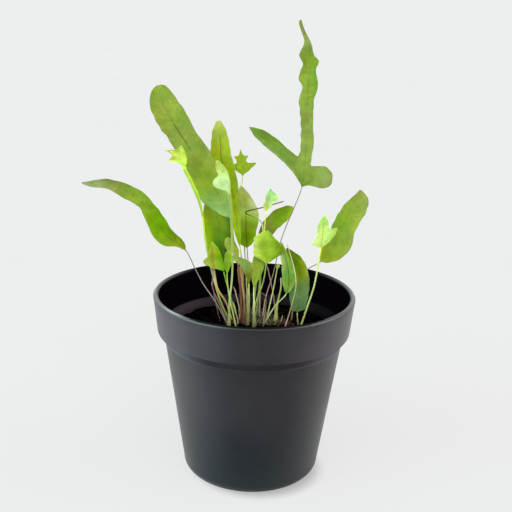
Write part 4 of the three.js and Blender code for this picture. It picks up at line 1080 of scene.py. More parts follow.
def earth_material(name, dark, light):
    """Crumbly ground between two colours."""
    g = Graph(bpy.data.materials.new(name))
    place = g.coordinates()
    patch = g.noise(place, 140.0, 5.0, 0.65)
    fine = g.noise(place, 1260.0, 4.0, 0.6)
    colour = g.mix(g.ramp(patch, 0.35, 0.72, 0.0, 1.0), (*dark, 1), (*light, 1))
    speckle = g.mix(fine, (0.25, 0.25, 0.25, 1), (1.3, 1.3, 1.3, 1))
    colour = g.mix(0.7, colour, speckle, "MULTIPLY")
    return g.finish(g.surface(colour, 0.95, 0.0, g.bump(fine, 0.8, 0.0005)))


def litter_material(name, roughness):
    """A small piece's own tint, darkened and lightened in spots."""
    g = Graph(bpy.data.materials.new(name))
    spots = g.noise(g.coordinates(), 900.0, 3.0, 0.6)
    colour = g.tinted(g.spread(spots, 0.75, 1.2))
    return g.finish(g.surface(colour, roughness, 0.0, g.bump(spots, 0.5, 0.0002)))


# Stage, camera and lights

def make_camera():
    back = Vector((0.0, -math.cos(CAMERA_ELEVATION), math.sin(CAMERA_ELEVATION)))
    right = Vector((1.0, 0.0, 0.0))
    up = back.cross(right)
    turned_right = right * math.cos(CAMERA_ROLL) + up * math.sin(CAMERA_ROLL)
    turned_up = up * math.cos(CAMERA_ROLL) - right * math.sin(CAMERA_ROLL)
    camera = bpy.data.objects.new("camera", bpy.data.cameras.new("camera"))
    camera.data.sensor_width = SENSOR
    camera.data.lens = FOCAL_PIXELS / PICTURE_PIXELS * SENSOR
    turn = Matrix((turned_right, turned_up, back)).transposed().to_4x4()
    camera.matrix_world = Matrix.Translation(CAMERA_TARGET + back * CAMERA_DISTANCE) @ turn
    bpy.context.scene.collection.objects.link(camera)
    bpy.context.scene.camera = camera


def make_sun(name, azimuth, elevation, strength, colour):
    """Even soft light from a direction; only a low sun shows in glossy surfaces."""
    light = bpy.data.lights.new(name, "SUN")
    light.energy = strength
    light.angle = math.radians(SUN_SOFTNESS)
    light.color = colour
    made = bpy.data.objects.new(name, light)
    a, e = math.radians(azimuth), math.radians(elevation)
    towards = Vector((math.sin(a) * math.cos(e), -math.cos(a) * math.cos(e), math.sin(e)))
    made.rotation_mode = "QUATERNION"
    made.rotation_quaternion = towards.to_track_quat("Z", "Y")
    made.visible_glossy = elevation < HIGHEST_SHINE
    bpy.context.scene.collection.objects.link(made)


def make_world():
    """Soft light from all round and above, weak from low down on the camera's side."""
    g = Graph(bpy.data.worlds.new("studio"))
    x, y, z = g.parts(g.coordinates("Generated"))
    shaded = g.product(g.ramp(y, -0.95, -0.10, 1.0, 0.0), g.ramp(z, 0.10, 0.55, 1.0, 0.0))
    dimming = CAMERA_SIDE_STRENGTH - STUDIO_STRENGTH
    strength = g.math("MULTIPLY_ADD", shaded, dimming, STUDIO_STRENGTH)
    overhead = g.ramp(z, 0.7, 0.98, 1.0, OVERHEAD_SHARE)
    left = g.ramp(x, -0.9, -0.2, 1.0, 0.0)
    strength = g.product(strength, overhead, g.math("MULTIPLY_ADD", left, LEFT_GAIN, 1.0))
    white = (1.0, 1.0, 1.0, 1)
    sky = g.add("ShaderNodeBackground", {0: g.mix(left, white, LEFT_TINT), 1: strength})
    seen = g.add("ShaderNodeBackground", {0: white, 1: BACKGROUND})
    to_camera = g.add("ShaderNodeLightPath", {}, "Is Camera Ray")
    chosen = g.add("ShaderNodeMixShader", {0: to_camera, 1: sky, 2: seen})
    bpy.context.scene.world = g.finish(chosen, "ShaderNodeOutputWorld")


def floor_material():
    """Paper glowing pale like a light table, with painted shadow round the pot, dimmer in front."""
    g = Graph(bpy.data.materials.new("floor_paper"))
    place = g.coordinates()
    in_front = g.ramp(g.parts(place)[1], *PAPER_FRONT, 1.0, 0.0)
    to_camera = g.add("ShaderNodeLightPath", {}, "Is Camera Ray")
    dimmed = g.product(in_front, g.math("SUBTRACT", 1.0, to_camera))
    centre = {0: place, 1: PAPER_PAINTED_SHADOW_CENTRE}
    reach = g.add("ShaderNodeVectorMath", centre, "Value", operation="DISTANCE")
    # The paper's noise, times the painted shadow round the pot's foot
    grain = g.product(g.spread(g.noise(place, 3.0, 2.0), 0.99, 1.0),
                      g.ramp(reach, *PAPER_PAINTED_SHADOW_REACH, PAPER_PAINTED_SHADOW, 1.0))
    white = g.add("ShaderNodeCombineColor", {0: grain, 1: grain, 2: grain})
    shade = g.mix(1.0, white, (PAPER_COLOUR, PAPER_COLOUR, PAPER_COLOUR, 1), "MULTIPLY")
    paper = g.add("ShaderNodeBsdfDiffuse", {"Color": shade})
    light = g.add("ShaderNodeEmission", {"Color": white, "Strength": PAPER_GLOW})
    glowing = g.add("ShaderNodeAddShader", {0: paper, 1: light})
    grey = (PAPER_FRONT_COLOUR, PAPER_FRONT_COLOUR, PAPER_FRONT_COLOUR, 1)
    dim = g.add("ShaderNodeBsdfDiffuse", {"Color": grey})
    return g.finish(g.add("ShaderNodeMixShader", {0: dimmed, 1: glowing, 2: dim}))


def make_stage():
    """World, floor and suns."""
    make_world()
    half = PAPER_SIZE / 2
    corners = [(-half, -half), (half, -half), (half, half), (-half, half)]
    mesh = bpy.data.meshes.new("floor")
    mesh.from_pydata([(x, y, -PAPER_DROP) for x, y in corners], [], [(0, 1, 2, 3)])
    mesh.materials.append(floor_material())
    floor = bpy.data.objects.new("floor", mesh)
    bpy.context.scene.collection.objects.link(floor)
    bpy.context.scene.view_settings.view_transform = "Standard"
    for name, settings in SUNS.items():
        make_sun(name, *settings)


# Pot

def arc(centre_radius, centre_z, radius, start, end, steps):
    """Points of a round, angles in quarter turns."""
    angles = [(start + (end - start) * i / steps) * math.pi / 2 for i in range(steps + 1)]
    return [(centre_radius + radius * math.cos(a), centre_z + radius * math.sin(a)) for a in angles]


def rounded_corner(before, corner, after, radius, steps=4):
    """A corner of a profile as a curve that starts and ends a radius away from it."""
    corner = np.array(corner, float)
    start = corner + unit(before - corner) * radius
    end = corner + unit(after - corner) * radius
    shares = [i / steps for i in range(steps + 1)]
    return [tuple((1 - t) ** 2 * start + 2 * t * (1 - t) * corner + t * t * end) for t in shares]


def straight(start, end, count):
    """Points between two others, both left out."""
    start, end = np.array(start, float), np.array(end, float)
    return [tuple(start + (end - start) * i / (count + 1)) for i in range(1, count + 1)]


def pot_profile():
    """Outline from the middle of the underside, up the outside and down the inside."""
    lip = WALL / 2
    lip_centre = RIM_RADIUS - lip
    ledge = (LEDGE_INNER_RADIUS, LEDGE_TOP - LEDGE_FALL)
    neck = (NECK_RADIUS, CHAMFER_BOTTOM)
    band_foot = (RIM_FOOT_RADIUS, BAND_BOTTOM)
    inner_band = (RIM_FOOT_RADIUS - WALL, LEDGE_TOP)
    rim_out = (RIM_RADIUS - 0.1, LIP_FOOT)
    rim_in = (RIM_RADIUS - WALL, LIP_FOOT)
    inner_round = BASE_ROUND - FLOOR_THICKNESS
    inner_foot = inner_wall(BASE_ROUND)
    base = arc(BASE_RADIUS - BASE_ROUND, BASE_ROUND, BASE_ROUND, -1, 0, 12)
    outside = [
        (0, 0), *((radius, 0) for radius in FLOOR_RADII), *base, *straight(base[-1], neck, 10),
        *rounded_corner(base[-1], neck, band_foot, SMALL_ROUND), *straight(neck, band_foot, 1),
        *rounded_corner(neck, band_foot, rim_out, CORNER_ROUND), *straight(band_foot, rim_out, 4),
        *arc(lip_centre, LIP_FOOT, lip, 0, 1, 5)[:-1],
    ]
    inside = [
        *arc(lip_centre, LIP_FOOT, lip, 1, 2, 5), *straight(rim_in, inner_band, 4),
        *rounded_corner(rim_in, inner_band, ledge, CORNER_ROUND),
        *rounded_corner(inner_band, ledge, (inner_foot, BASE_ROUND), LEDGE_ROUND),
        *straight(ledge, (inner_foot, BASE_ROUND), 8),
        *arc(inner_foot - inner_round, BASE_ROUND, inner_round, 0, -1, 6),
        *((radius, FLOOR_THICKNESS) for radius in reversed(FLOOR_RADII)), (0, FLOOR_THICKNESS),
    ]
    return outside, inside


def is_ledge(z, inner):
    return inner and abs(z - (LEDGE_TOP - LEDGE_FALL / 2)) < LEDGE_FALL


def pot_colour_and_painted_shade(radius, z, inner):
    """Plastic colour by height, with painted shade low down, inside and on the lip; not by side."""
    if is_ledge(z, inner):
        return np.array(POT_LEDGE)
    shell, foot, lip, inside_shade = (np.array(c) for c in (POT_SHELL, POT_FOOT_PAINTED_SHADE, POT_LIP_PAINTED_SHADE, POT_INSIDE_PAINTED_SHADE))
    low = inside_shade if inner else foot + (shell - foot) * smoothstep(z, *POT_FOOT_PAINTED_SHADE_BLEND)
    share = smoothstep(z, LIP_FOOT - 1, POT_HEIGHT)
    share *= smoothstep(radius, RIM_RADIUS - WALL, RIM_RADIUS - WALL / 2)
    return low + (lip - low) * share


def painted_lip_light(angle, z, inner):
    """Painted light on the lip: pale towards both sides, with a painted glint at the front left."""
    across, ahead = math.cos(angle), -math.sin(angle)
    height = smoothstep(z, LIP_FOOT, POT_HEIGHT)
    side = smoothstep(abs(across), *LIP_SIDE_SPAN) * np.array(LIP_SIDE_PAINTED_LIGHT)
    if ahead > 0 and not inner:
        glint = LIP_GLINT * height ** 2 * bell(across, LIP_GLINT_PLACE, LIP_GLINT_WIDTH)
        side = side * LIP_FRONT_SHARE + glint
    return side * height


def painted_side_light(across, z, inner):
    """Painted light and shade on the plastic from the pot's left side (-1) to its right side (1)."""
    if is_ledge(z, inner):
        return LEDGE_PAINTED_LIGHT - LEDGE_PAINTED_LIGHT_SLOPE * across
    if inner:
        return 1.0
    if z >= BAND_BOTTOM:
        side = BAND_PAINTED_LIGHT["left" if across < 0 else "right"]
        return 1 + side * smoothstep(abs(across), *BAND_SPAN)
    if z > NECK_BOTTOM:
        return NECK_PAINTED_LIGHT + NECK_SIDE_PAINTED_LIGHT * smoothstep(abs(across), *NECK_SPAN)
    glint = BODY_GLINT * bell(across, BODY_GLINT_PLACE, BODY_GLINT_WIDTH)
    return 1 + glint - BODY_PAINTED_SHADE * smoothstep(across, *BODY_PAINTED_SHADE_SPAN)


def is_dull(x, y, z):
    """Whether a face of the pot is on its inside or its neck, where nothing shines."""
    if z <= FLOOR_THICKNESS - 1:
        return False
    reach = math.hypot(x, y)
    if z > LIP_FOOT:
        front = smoothstep(-y / reach, 0.7, 0.9)
        return reach < RIM_RADIUS - WALL * (0.5 - 0.42 * front)
    band_step = 6 if z > LEDGE_TOP - 1 else 0
    past_wall = reach < inner_wall(z) + WALL / 2 + band_step
    return past_wall or NECK_BOTTOM < z < BAND_BOTTOM


def make_pot():
    outside, inside = pot_profile()
    profile = outside + inside
    form = Form()
    for row, (radius, z) in enumerate(profile):
        inner = row >= len(outside)
        tint = pot_colour_and_painted_shade(radius, z, inner)
        for angle in turns(POT_SIDES if radius else 1):
            across = math.cos(angle)
            form.points.append((radius * across, radius * math.sin(angle), z))
            # Plastic colour with painted shade, times painted light and shade by side, plus painted
            # light on the lip
            form.tints.append(tint * painted_side_light(across, z, inner) + painted_lip_light(angle, z, inner))
    form.faces = lathe_faces(len(profile) - 2, POT_SIDES)
    materials = [pot_material("pot_plastic", 0.5, 0.05), pot_material("pot_inside", 0.0, 0.002)]
    pot = piece("pot_shell", form, materials, "pot", "pot")
    for polygon in pot.data.polygons:
        polygon.material_index = int(is_dull(*(polygon.center / MM)))
    cut_drains(pot)


def cut_drains(pot):
    """Bores the drain holes through the floor."""
    form = Form()
    for x, y, _ in circle(DRAIN_CIRCLE, 0, DRAIN_HOLES):
        ends = (-2.0, FLOOR_THICKNESS + 2.0)
        form.add_tube([circle(DRAIN_RADIUS, z, DRAIN_SIDES, x, y) for z in ends])
    tool = bpy.data.objects.new("drain_tool", make_mesh("drain_tool", form))
    bpy.context.scene.collection.objects.link(tool)
    cut = pot.modifiers.new("drains", "BOOLEAN")
    cut.operation = "DIFFERENCE"
    cut.object = tool
    cut.solver = "EXACT"
    bpy.context.view_layer.update()
    evaluated = pot.evaluated_get(bpy.context.evaluated_depsgraph_get())
    bored = bpy.data.meshes.new_from_object(evaluated)
    pot.modifiers.clear()
    pot.data = bored
    bpy.data.objects.remove(tool)


# Soil, rhizome and litter

def make_soil():
    """The bed, ring by ring from the pot's floor up its side and in over its rough top."""
    edge = inner_wall(SOIL_EDGE) - 0.1
    bottom = FLOOR_THICKNESS + SOIL_GAP
    form = Form()
    form.points.append((0, 0, bottom))
    foot = (inner_wall(BASE_ROUND) - 0.5, BASE_ROUND)
    shoulder = (edge - SOIL_GAP, SOIL_SHOULDER_Z)
    for radius, z in ((SOIL_FLOOR_RADIUS, bottom), foot, shoulder):
        form.points += circle(radius, z, SOIL_SIDES)
    for ring in range(SOIL_RINGS, 0, -1):
        flat = circle(edge * ring / SOIL_RINGS, 0, SOIL_SIDES)
        form.points += [(x, y, rough_soil_top(x, y)) for x, y, _ in flat]
    form.points.append((0, 0, rough_soil_top(0, 0)))
    form.faces = lathe_faces(SOIL_RINGS + 3, SOIL_SIDES)
    piece("soil_bed", form, [earth_material("soil_earth", SOIL_DARK, SOIL_LIGHT)], "soil", "soil")


def icosahedron():
    """Corners and faces of the rough lump that every crumb starts from."""
    ratio = (1 + 5 ** 0.5) / 2
    corners = []
    for a in (-1, 1):
        for b in (-ratio, ratio):
            corners += [(a, b, 0), (0, a, b), (b, 0, a)]
    corners = np.array(corners, float) / math.hypot(1, ratio)
    edge = min(math.dist(corners[0], c) for c in corners[1:]) * 1.01
    faces = []
    for i, j, k in itertools.combinations(range(len(corners)), 3):
        p, q, r = corners[i], corners[j], corners[k]
        if max(math.dist(p, q), math.dist(q, r), math.dist(p, r)) < edge:
            faces.append((i, j, k) if np.dot(np.cross(q - p, r - p), p) > 0 else (i, k, j))
    return corners, faces


def random_turn(rng):
    axis = Vector((rng.gauss(0, 1), rng.gauss(0, 1), rng.gauss(0, 1))).normalized()
    return Matrix.Rotation(rng.uniform(0, 2 * math.pi), 3, axis)


def make_crumbs():
    """Loose crumbs and bark chips pressed into the top of the soil."""
    rng = random.Random(11)
    corners, faces = icosahedron()
    form = Form()
    edge = inner_wall(SOIL_EDGE) - 0.4
    for number in range(CRUMBS):
        chip = number % CHIP_EVERY == 0
        size = rng.uniform(*CHIP_SIZE) if chip else CRUMB_LEAST + rng.random() ** 2
        radius = (edge - size) * math.sqrt(rng.random())
        angle = rng.uniform(0, 2 * math.pi)
        x, y = radius * math.cos(angle), radius * math.sin(angle)
        widths, heights = CHIP_SHAPE if chip else CRUMB_SHAPE
        stretch = np.array([1.0, rng.uniform(*widths), rng.uniform(*heights)])
        uneven = np.array([rng.uniform(*CRUMB_UNEVEN) for _ in corners])[:, None]
        turn = random_turn(rng)
        if chip:
            tilt = Matrix.Rotation(rng.uniform(-CHIP_TILT, CHIP_TILT), 3, "X")
            turn = Matrix.Rotation(angle * 3, 3, "Z") @ tilt
        points = (corners * uneven * stretch * size) @ np.array(turn).T
        points += np.array([x, y, rough_soil_top(x, y) + size * CRUMB_RISE])
        tint = np.array(rng.choice(CRUMB_EARTHS)) * rng.uniform(0.7, 1.3)
        form.add(points.tolist(), faces, tint)
    earth = litter_material("crumb_earth", 0.95)
    piece("soil_crumbs", form, [earth], "soil", smooth=False)


def tube_rings(centres, radii, sides, normal=(0.0, 0.0, 1.0)):
    """Rings round a line of points, and the centre and directions of each."""
    rings, stations = [], []
    for i, centre in enumerate(centres):
        along = unit(centres[min(i + 1, len(centres) - 1)] - centres[max(i - 1, 0)])
        across = unit(np.cross(along, normal))
        out = np.cross(across, along)
        reaches = [(radii[i] * math.cos(a), radii[i] * math.sin(a)) for a in turns(sides)]
        rings.append([centre + across * x - out * z for x, z in reaches])
        stations.append((centre, along, across, out))
    return rings, stations


def add_scale(form, rng, station, radius):
    """A golden scale: a thin pointed leaf that lies along the rhizome."""
    centre, along, across, out = station
    angle = rng.uniform(0, 2 * math.pi)
    normal = across * math.cos(angle) + out * math.sin(angle)
    side = np.cross(along, normal)
    root = centre + normal * (radius * 0.98)
    length, width = rng.uniform(*SCALE_LENGTH), rng.uniform(*SCALE_WIDTH)
    lean = along * rng.uniform(0.6, 1.0) + side * rng.uniform(-0.4, 0.4)
    lean = unit(lean + normal * rng.uniform(0.05, 0.5))
    middle = root + lean * length * 0.45
    lift = normal * 0.1
    points = [root, middle - side * width + lift, root + lean * length, middle + side * width + lift,
              middle + normal * SCALE_LIFT, middle - normal * 0.12]
    faces = []
    for a, b in ((0, 1), (1, 2), (2, 3), (3, 0)):
        faces += [(b, a, 4), (a, b, 5)]
    form.add(points, faces, np.array(rng.choice(SCALE_GOLDS)) * rng.uniform(0.7, 1.2))


def make_rhizome():
    """Creeping stem under a coat of golden scales that lie along it."""
    rng = random.Random(5)
    form = Form()
    for branch in RHIZOME_BRANCHES:
        points = [np.array((x, y, soil_top(x, y) - RHIZOME_SINK)) for x, y in branch]
        points[-1][2] -= RHIZOME_DIP
        count = RINGS_PER_PART * (len(points) - 1)
        shares = [i / count for i in range(count + 1)]
        centres = [spline(points, (len(points) - 1) * i / count) for i in range(count + 1)]
        radii = [RHIZOME_RADIUS * (1 - 0.75 * max(0, 2 * share - 1) ** 6) for share in shares]
        rings, stations = tube_rings(centres, radii, RHIZOME_SIDES)
        form.add_tube(rings, RHIZOME_CORE)
        for row, station in enumerate(stations[1:-1]):
            for _ in range(SCALES_PER_RING):
                add_scale(form, rng, station, radii[row])
    scales = litter_material("rhizome_scales", 0.8)
    piece("rhizome_scaly", form, [scales], "rhizome", "rhizome", smooth=False)


def fibre_line(rng, x, y, height, radius, wander, steps=9):
    """A root's winding course from just under the soil, never below its surface again."""
    heading = rng.uniform(0, 2 * math.pi)
    point = np.array([x, y, rough_soil_top(x, y) - 1.0])
    line = [point]
    for step in range(steps):
        heading += rng.uniform(-0.7, 0.7)
        share = step / steps
        rise = height / steps * (1.3 - share * 1.1) + 0.1
        reach = wander * (0.15 + 0.25 * share)
        point = point + np.array([math.cos(heading) * reach, math.sin(heading) * reach, rise])
        if step > 1:
            point[2] = max(point[2], rough_soil_top(point[0], point[1]) + radius * 0.5)
        line.append(point)
    return line


def make_fibres():
    """Fine grey roots that stand among the stalks, old reddish stubs and arched roots."""
    rng = random.Random(23)
    form = Form()
    grey, rust = linear("tan") * 0.6, linear("rust")
    kinds = [
        (46, (0, 16), (-12, 6), (2, 8), (0.07, 0.12), grey, 3.2),
        (14, (-15, -4), (-6, 3), (3, 10), (0.2, 0.36), rust * 0.6, 1.0),
        (40, (-40, 44), (-34, 34), (0.6, 2.0), (0.07, 0.13), rust * 0.25, 5.0),
    ]
    for count, *ranges, colour, wander in kinds:
        for _ in range(count):
            x, y, height, radius = (rng.uniform(*span) for span in ranges)
            line = fibre_line(rng, x, y, height, radius, wander)
            radii = [radius * (1 - 0.5 * i / (len(line) - 1)) for i in range(len(line))]
            rings, _ = tube_rings(line, radii, 6)
            form.add_tube(rings, colour * rng.uniform(0.6, 1.25))
    steps = 16
    for (x0, y0), (x1, y1), height, radius in ROOT_ARCHES:
        line = []
        for w in (i / steps for i in range(steps + 1)):
            x, y = x0 + (x1 - x0) * w, y0 + (y1 - y0) * w
            rise = height * math.sin(math.pi * w) ** 0.6
            z = rough_soil_top(x, y) - 0.4 + rise
            line.append(np.array([x + 0.2 * math.sin(9 * w), y, z]))
        rings, _ = tube_rings(line, [radius] * len(line), 6, (0.3, 1.0, 0.0))
        form.add_tube(rings, linear("moss_grey") * 0.5)
    piece("root_fibres", form, [litter_material("root_fibre", 0.85)], "rhizome")


# Stalks

def stem_tint(names, share):
    """Colour at a share of a stalk's length, from its colours from foot to end."""
    stops = [linear(name) for name in names.split()]
    return values_at([(p, *c) for p, c in zip(np.linspace(0.0, 1.0, len(stops)), stops)], share)


def with_painted_foot_shade(colour, length):
    """A stalk's colour at a length, with painted shade where it leaves the soil."""
    share = float(smoothstep(length - FOOT_DEPTH, 0.0, FOOT_PAINTED_SHADE_RISE))
    return colour * (FOOT_PAINTED_SHADE + (1 - FOOT_PAINTED_SHADE) * share)


def stalk_lengths(end, pitch):
    """Lengths from a stalk's rooted end to another, each with its share of the way."""
    start = FOOT_DEPTH - ROOTED
    steps = max(3, math.ceil((end - start) / pitch))
    return [(start + (end - start) * i / steps, i / steps) for i in range(steps + 1)]


def stalk_radius(stalk, length, base):
    """Radius along a stalk: wide at its foot, slimmer under the blade."""
    radius = stalk["radius"]
    start, end = radius if isinstance(radius, tuple) else (radius * share for share in STALK_TAPER)
    height = max(0.0, length - FOOT_DEPTH)
    share = min(1.0, height / max(base - FOOT_DEPTH, 1.0))
    swelling, fade = stalk.get("sheath", SHEATH)
    return start + (end - start) * share + swelling * math.exp(-height / fade)


def stalk_section(frond, length, base):
    """Offsets round a frond's stalk: its grooved upper side, then its underside back."""
    radius = stalk_radius(frond, length, base)
    wide = 1 + float(values_at(frond.get("wing", [(0, 0)]), length / base)[0])
    angles = [math.pi * (1 - i / (SECTION_COLUMNS - 1)) for i in range(SECTION_COLUMNS)]
    offsets = []
    for angle in angles:
        groove = 1 - STALK_GROOVE * bell(angle, math.pi / 2, 0.5)
        offsets.append((radius * groove * math.cos(angle) * wide, radius * groove * math.sin(angle)))
    for angle in angles[-2:0:-1]:
        offsets.append((radius * math.cos(angle) * wide, -radius * math.sin(angle)))
    return offsets


def edge_ripple(rng):
    """A small unevenness of an edge or a stalk as a function of its length."""
    waves = [(rng.uniform(0.4, 1.1), rng.uniform(0, 6.3), rng.uniform(0.04, 0.13)) for _ in range(4)]
    return lambda length: sum(size * math.sin(length * pace + phase) for pace, phase, size in waves)


def make_bare_stalk(stalk, number, material, node):
    """A stalk with no blade, with long folds, flattened by a share and closed at its end."""
    rng = random.Random(200 + number)
    course = Course(stalk["foot"], stalk["path"])
    shift = rng.uniform(0, 40)
    wrinkle = edge_ripple(rng)
    flat = stalk.get("flat", 0)
    form = Form()
    for length, share in stalk_lengths(course.total, BARE_PITCH):
        centre, _, across, out = course.station(length, STALK_FACE)
        radius = stalk_radius(stalk, length, course.total)
        radius *= 1 - 0.6 * float(smoothstep(length, course.total - 1.0, course.total))
        offsets = []
        for angle in turns(BARE_SIDES):
            folds = 1 + (0.10 + 0.25 * flat) * math.cos(angle * 4 + length * 0.15)
            offsets.append((math.cos(angle) * radius * folds * (1 + flat),
                            math.sin(angle) * radius * folds * (1 - flat)))
        tint = with_painted_foot_shade(stem_tint(stalk["stem"], share), length)
        centre = centre + out * 0.4 * wrinkle(length)
        form.add_ring(centre, -across, out, offsets, tint, length, shift)
    form.close(BARE_SIDES)
    piece("stem_" + stalk["name"], form, [material], stalk["slot"], node)


def make_strands(material):
    """Dry strands among the stalks, in one piece."""
    form = Form()
    for number, (foot, path, radius, names) in enumerate(STRANDS):
        course = Course(foot, path)
        wrinkle = edge_ripple(random.Random(300 + number))
        first = len(form.points)
        for length, share in stalk_lengths(course.total, STRAND_PITCH):
            centre, _, across, out = course.station(length, STALK_FACE)
            thick = radius * (1 - 0.7 * float(smoothstep(length, course.total - 2.0, course.total)))
            offsets = [(math.cos(a) * thick, math.sin(a) * thick) for a in turns(STRAND_SIDES)]
            centre = centre - across * wrinkle(length)
            form.add_ring(centre, -across, out, offsets, stem_tint(names, share), length, number)
        form.close(STRAND_SIDES, first)
    piece("stem_strands", form, [material], "stalk_pinkish")


# Blades

def blade_rows(frond, rib_length):
    """Rows of a blade: place, reach left and right, and sweep left and right."""
    rungs = [np.array([*rung, 0, 0][:5], float) for rung in frond["rungs"]]
    left = [np.array([r[1], r[0] * rib_length + r[3]]) for r in rungs]
    right = [np.array([r[2], r[0] * rib_length + r[4]]) for r in rungs]
    rows = []
    for i in range(len(rungs) - 1):
        longest = max(math.dist(left[i], left[i + 1]), math.dist(right[i], right[i + 1]))
        steps = max(2, math.ceil(longest / ROW_PITCH))
        for step in range(steps + (i == len(rungs) - 2)):
            w = step / steps
            place = rungs[i][0] + (rungs[i + 1][0] - rungs[i][0]) * w
            reach_left, end_left = spline(left, i + w)
            reach_right, end_right = spline(right, i + w)
            start = place * rib_length
            rows.append((place, max(reach_left, LEAST_REACH), max(reach_right, LEAST_REACH),
                         end_left - start, end_right - start))
    return rows


def blade_columns(left, right):
    """Signed distances from the rib and shares of the reach, from left edge to right edge."""
    sides = []
    for reach, sign in ((left, -1), (right, 1)):
        rib = min(RIB_WIDTH, reach * 0.3)
        distances = [rib] + [rib + (reach - rib) * share for share in COLUMN_SHARES]
        sides.append([(sign * d, d / reach) for d in distances])
    return sides[0][::-1] + [(0.0, 0.0)] + sides[1]


def quilting(share, cell, reach):
    """How far the skin puffs up between two side veins."""
    puff = 0.5 - 0.5 * math.cos(2 * math.pi * cell)
    inside = float(smoothstep(share, *QUILT_INNER) * (1 - smoothstep(share, *QUILT_OUTER)))
    return QUILT * puff * inside * min(1.0, reach / QUILT_FULL_REACH)


def blade_section(frond, place, along_blade, left, right, full):
    """Points over a blade and back under it: distance, sweep, height and share of the reach.

    left and right hold a reach and its sweep, and full is how far the rib is formed.
    """
    top, bottom = [], []
    for distance, share in blade_columns(left[0], right[0]):
        reach, sweep = left if distance < 0 else right
        phase = 0 if distance < 0 else WAVE_SHIFT
        forward = share * sweep
        wave = frond.get("wave", 0) * min(1.0, reach / WAVE_FULL_REACH)
        wave *= math.sin(2 * math.pi * frond.get("waves", 1) * place + phase)
        cell = (along_blade + forward - VEIN_SLANT * abs(distance)) / frond["veins"]
        lift = share * share * (frond["cup"] * reach + wave) + quilting(share, cell, reach)
        half = (BLADE_THICKNESS + (EDGE_THICKNESS - BLADE_THICKNESS) * share) / 2
        if share == 1.0:
            half = 0.0
        on_rib = full if share == 0 else 0.0
        top.append((distance, forward, lift + half - RIB_GROOVE * on_rib, share))
        rise = RIB_RISE * (1 - 0.7 * place) * on_rib
        bottom.append((distance, forward, lift - half - rise, share))
    return top + bottom[-2:0:-1]


def tint_stops(frond):
    """A blade's colour stops: place, then its left, middle and right colour."""
    stops = []
    for place, names in frond["tints"].items():
        names = names.split()
        names += names[-1:] * (3 - len(names))
        stops.append((place, *np.concatenate([linear(name) for name in names])))
    return stops


def rib_share(frond, place, distance):
    """How much of its rib's colour a blade shows, full on the rib and gone beside it."""
    end, strength = frond["rib_fade"]
    near = 1 - smoothstep(abs(distance), 0.4, 1.0)
    return strength * near * (1 - smoothstep(place, end * 0.7, end))


def add_blade(form, frond, course, base, face, shift, ripples):
    """Rings of a blade along its rib, round like its stalk at first and then flat."""
    rib_length = course.total - base
    veins = frond["veins"]
    stops = tint_stops(frond)
    crease_shade_stops = frond.get("crease_shade", USUAL_CREASE_SHADE)
    under = linear("grey_green")
    tube = stalk_section(frond, base, base)
    for place, left, right, sweep_left, sweep_right in blade_rows(frond, rib_length):
        along_blade = rib_length * place
        centre, along, across, out = course.station(base + along_blade, face)
        full = float(smoothstep(min(left, right), 0.8, 3.0))
        left += ripples[0](along_blade + sweep_left) * full
        right += ripples[1](along_blade + sweep_right) * full
        roundness = 1 - float(smoothstep(along_blade, 0.0, ROUND_BASE))
        tints = values_at(stops, place).reshape(3, 3)
        tone_and_painted_light = values_at(frond["tone_and_painted_light"], place)
        marks = (values_at(crease_shade_stops, place)[0], frond["veining"], frond["margin"])
        sides = (left, sweep_left), (right, sweep_right)
        ring = blade_section(frond, place, along_blade, *sides, full)
        for index, (distance, forward, height, share) in enumerate(ring):
            x = distance + (tube[index][0] - distance) * roundness
            z = height + (tube[index][1] - height) * roundness
            point = centre + across * x + along * forward * (1 - roundness) + out * z
            edge = tints[0] if distance < 0 else tints[2]
            colour = tints[1] + (edge - tints[1]) * smoothstep(share, 0.15, 0.95)
            if "rib_tint" in frond:
                colour += (linear(frond["rib_tint"]) - colour) * rib_share(frond, place, distance)
            # The tone row lightens or darkens the blade, partly its own colour and partly painted light
            # and shade
            colour = colour * tone_and_painted_light
            if index >= SECTION_COLUMNS:
                colour += (under - colour) * UNDERSIDE_SHARE
            leaf = (distance / veins, (along_blade + forward) / veins + shift, share)
            form.add_point(point, colour, leaf, marks)


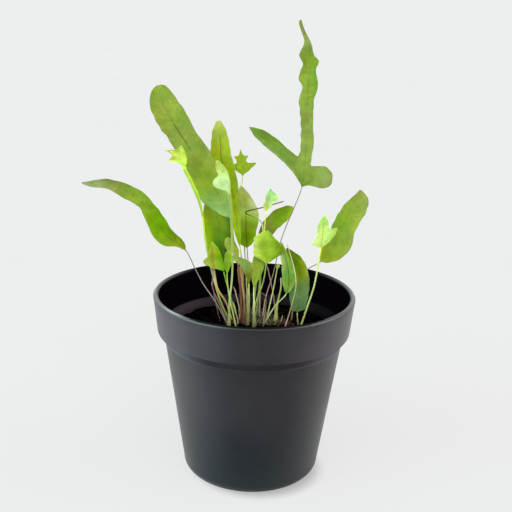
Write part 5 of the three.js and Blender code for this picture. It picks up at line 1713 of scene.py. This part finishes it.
def make_frond(frond, number, blade, stalk):
    """A frond in one piece, or in two where its stalk has a slot of its own."""
    rng = random.Random(100 + number)
    course = Course(frond["foot"], [*frond["stalk"], *frond["rib"]])
    base = course.length_of((2 + len(frond["stalk"])) / (len(course.points) - 1))
    face = unit(frond["face"])
    shift = rng.uniform(0, 40)
    stem = Form()
    for length, share in stalk_lengths(base, STALK_PITCH):
        centre, _, across, out = course.station(length, face)
        tint = with_painted_foot_shade(stem_tint(frond["stem"], share), length)
        offsets = stalk_section(frond, length, base)
        stem.add_ring(centre, across, out, offsets, tint, length, shift)
    stem_rows = len(stem.points) // SECTION_POINTS
    parted = "stem_slot" in frond
    leaf = Form() if parted else stem
    add_blade(leaf, frond, course, base, face, shift, [edge_ripple(rng), edge_ripple(rng)])
    leaf.close(SECTION_POINTS)
    name = frond["name"]
    if parted:
        stem.close(SECTION_POINTS)
        piece("stem_" + name, stem, [stalk], frond["stem_slot"], "stipe_" + name)
        piece("leaf_" + name, leaf, [blade], frond["slot"], "frond_" + name)
    else:
        made = piece("leaf_" + name, leaf, [blade, stalk], frond["slot"], "frond_" + name)
        stem_faces = int(stem_rows * frond.get("skin_from", 1)) * SECTION_POINTS
        for polygon in made.data.polygons[:stem_faces]:
            polygon.material_index = 1


def make_plant():
    """Every frond and bare stalk, the crozier and the strands."""
    blades = {slot: blade_material(slot, *look) for slot, look in BLADE_LOOKS.items()}
    fresh = stalk_material("stalk_skin", 0.5, 0.12)
    dry = stalk_material("dry_skin", 0.8, 0.28)
    for number, frond in enumerate(FRONDS):
        make_frond(frond, number, blades[frond["slot"]], fresh)
    for number, stalk in enumerate(BARE_STALKS):
        material = dry if stalk["slot"] in ("stalk_dead", "stalk_twig") else fresh
        make_bare_stalk(stalk, number, material, "stalk_" + stalk["name"])
    make_bare_stalk(CROZIER, len(BARE_STALKS), fresh, "crozier")
    make_strands(dry)


make_camera()
make_stage()
make_pot()
make_soil()
make_crumbs()
make_rhizome()
make_fibres()
make_plant()
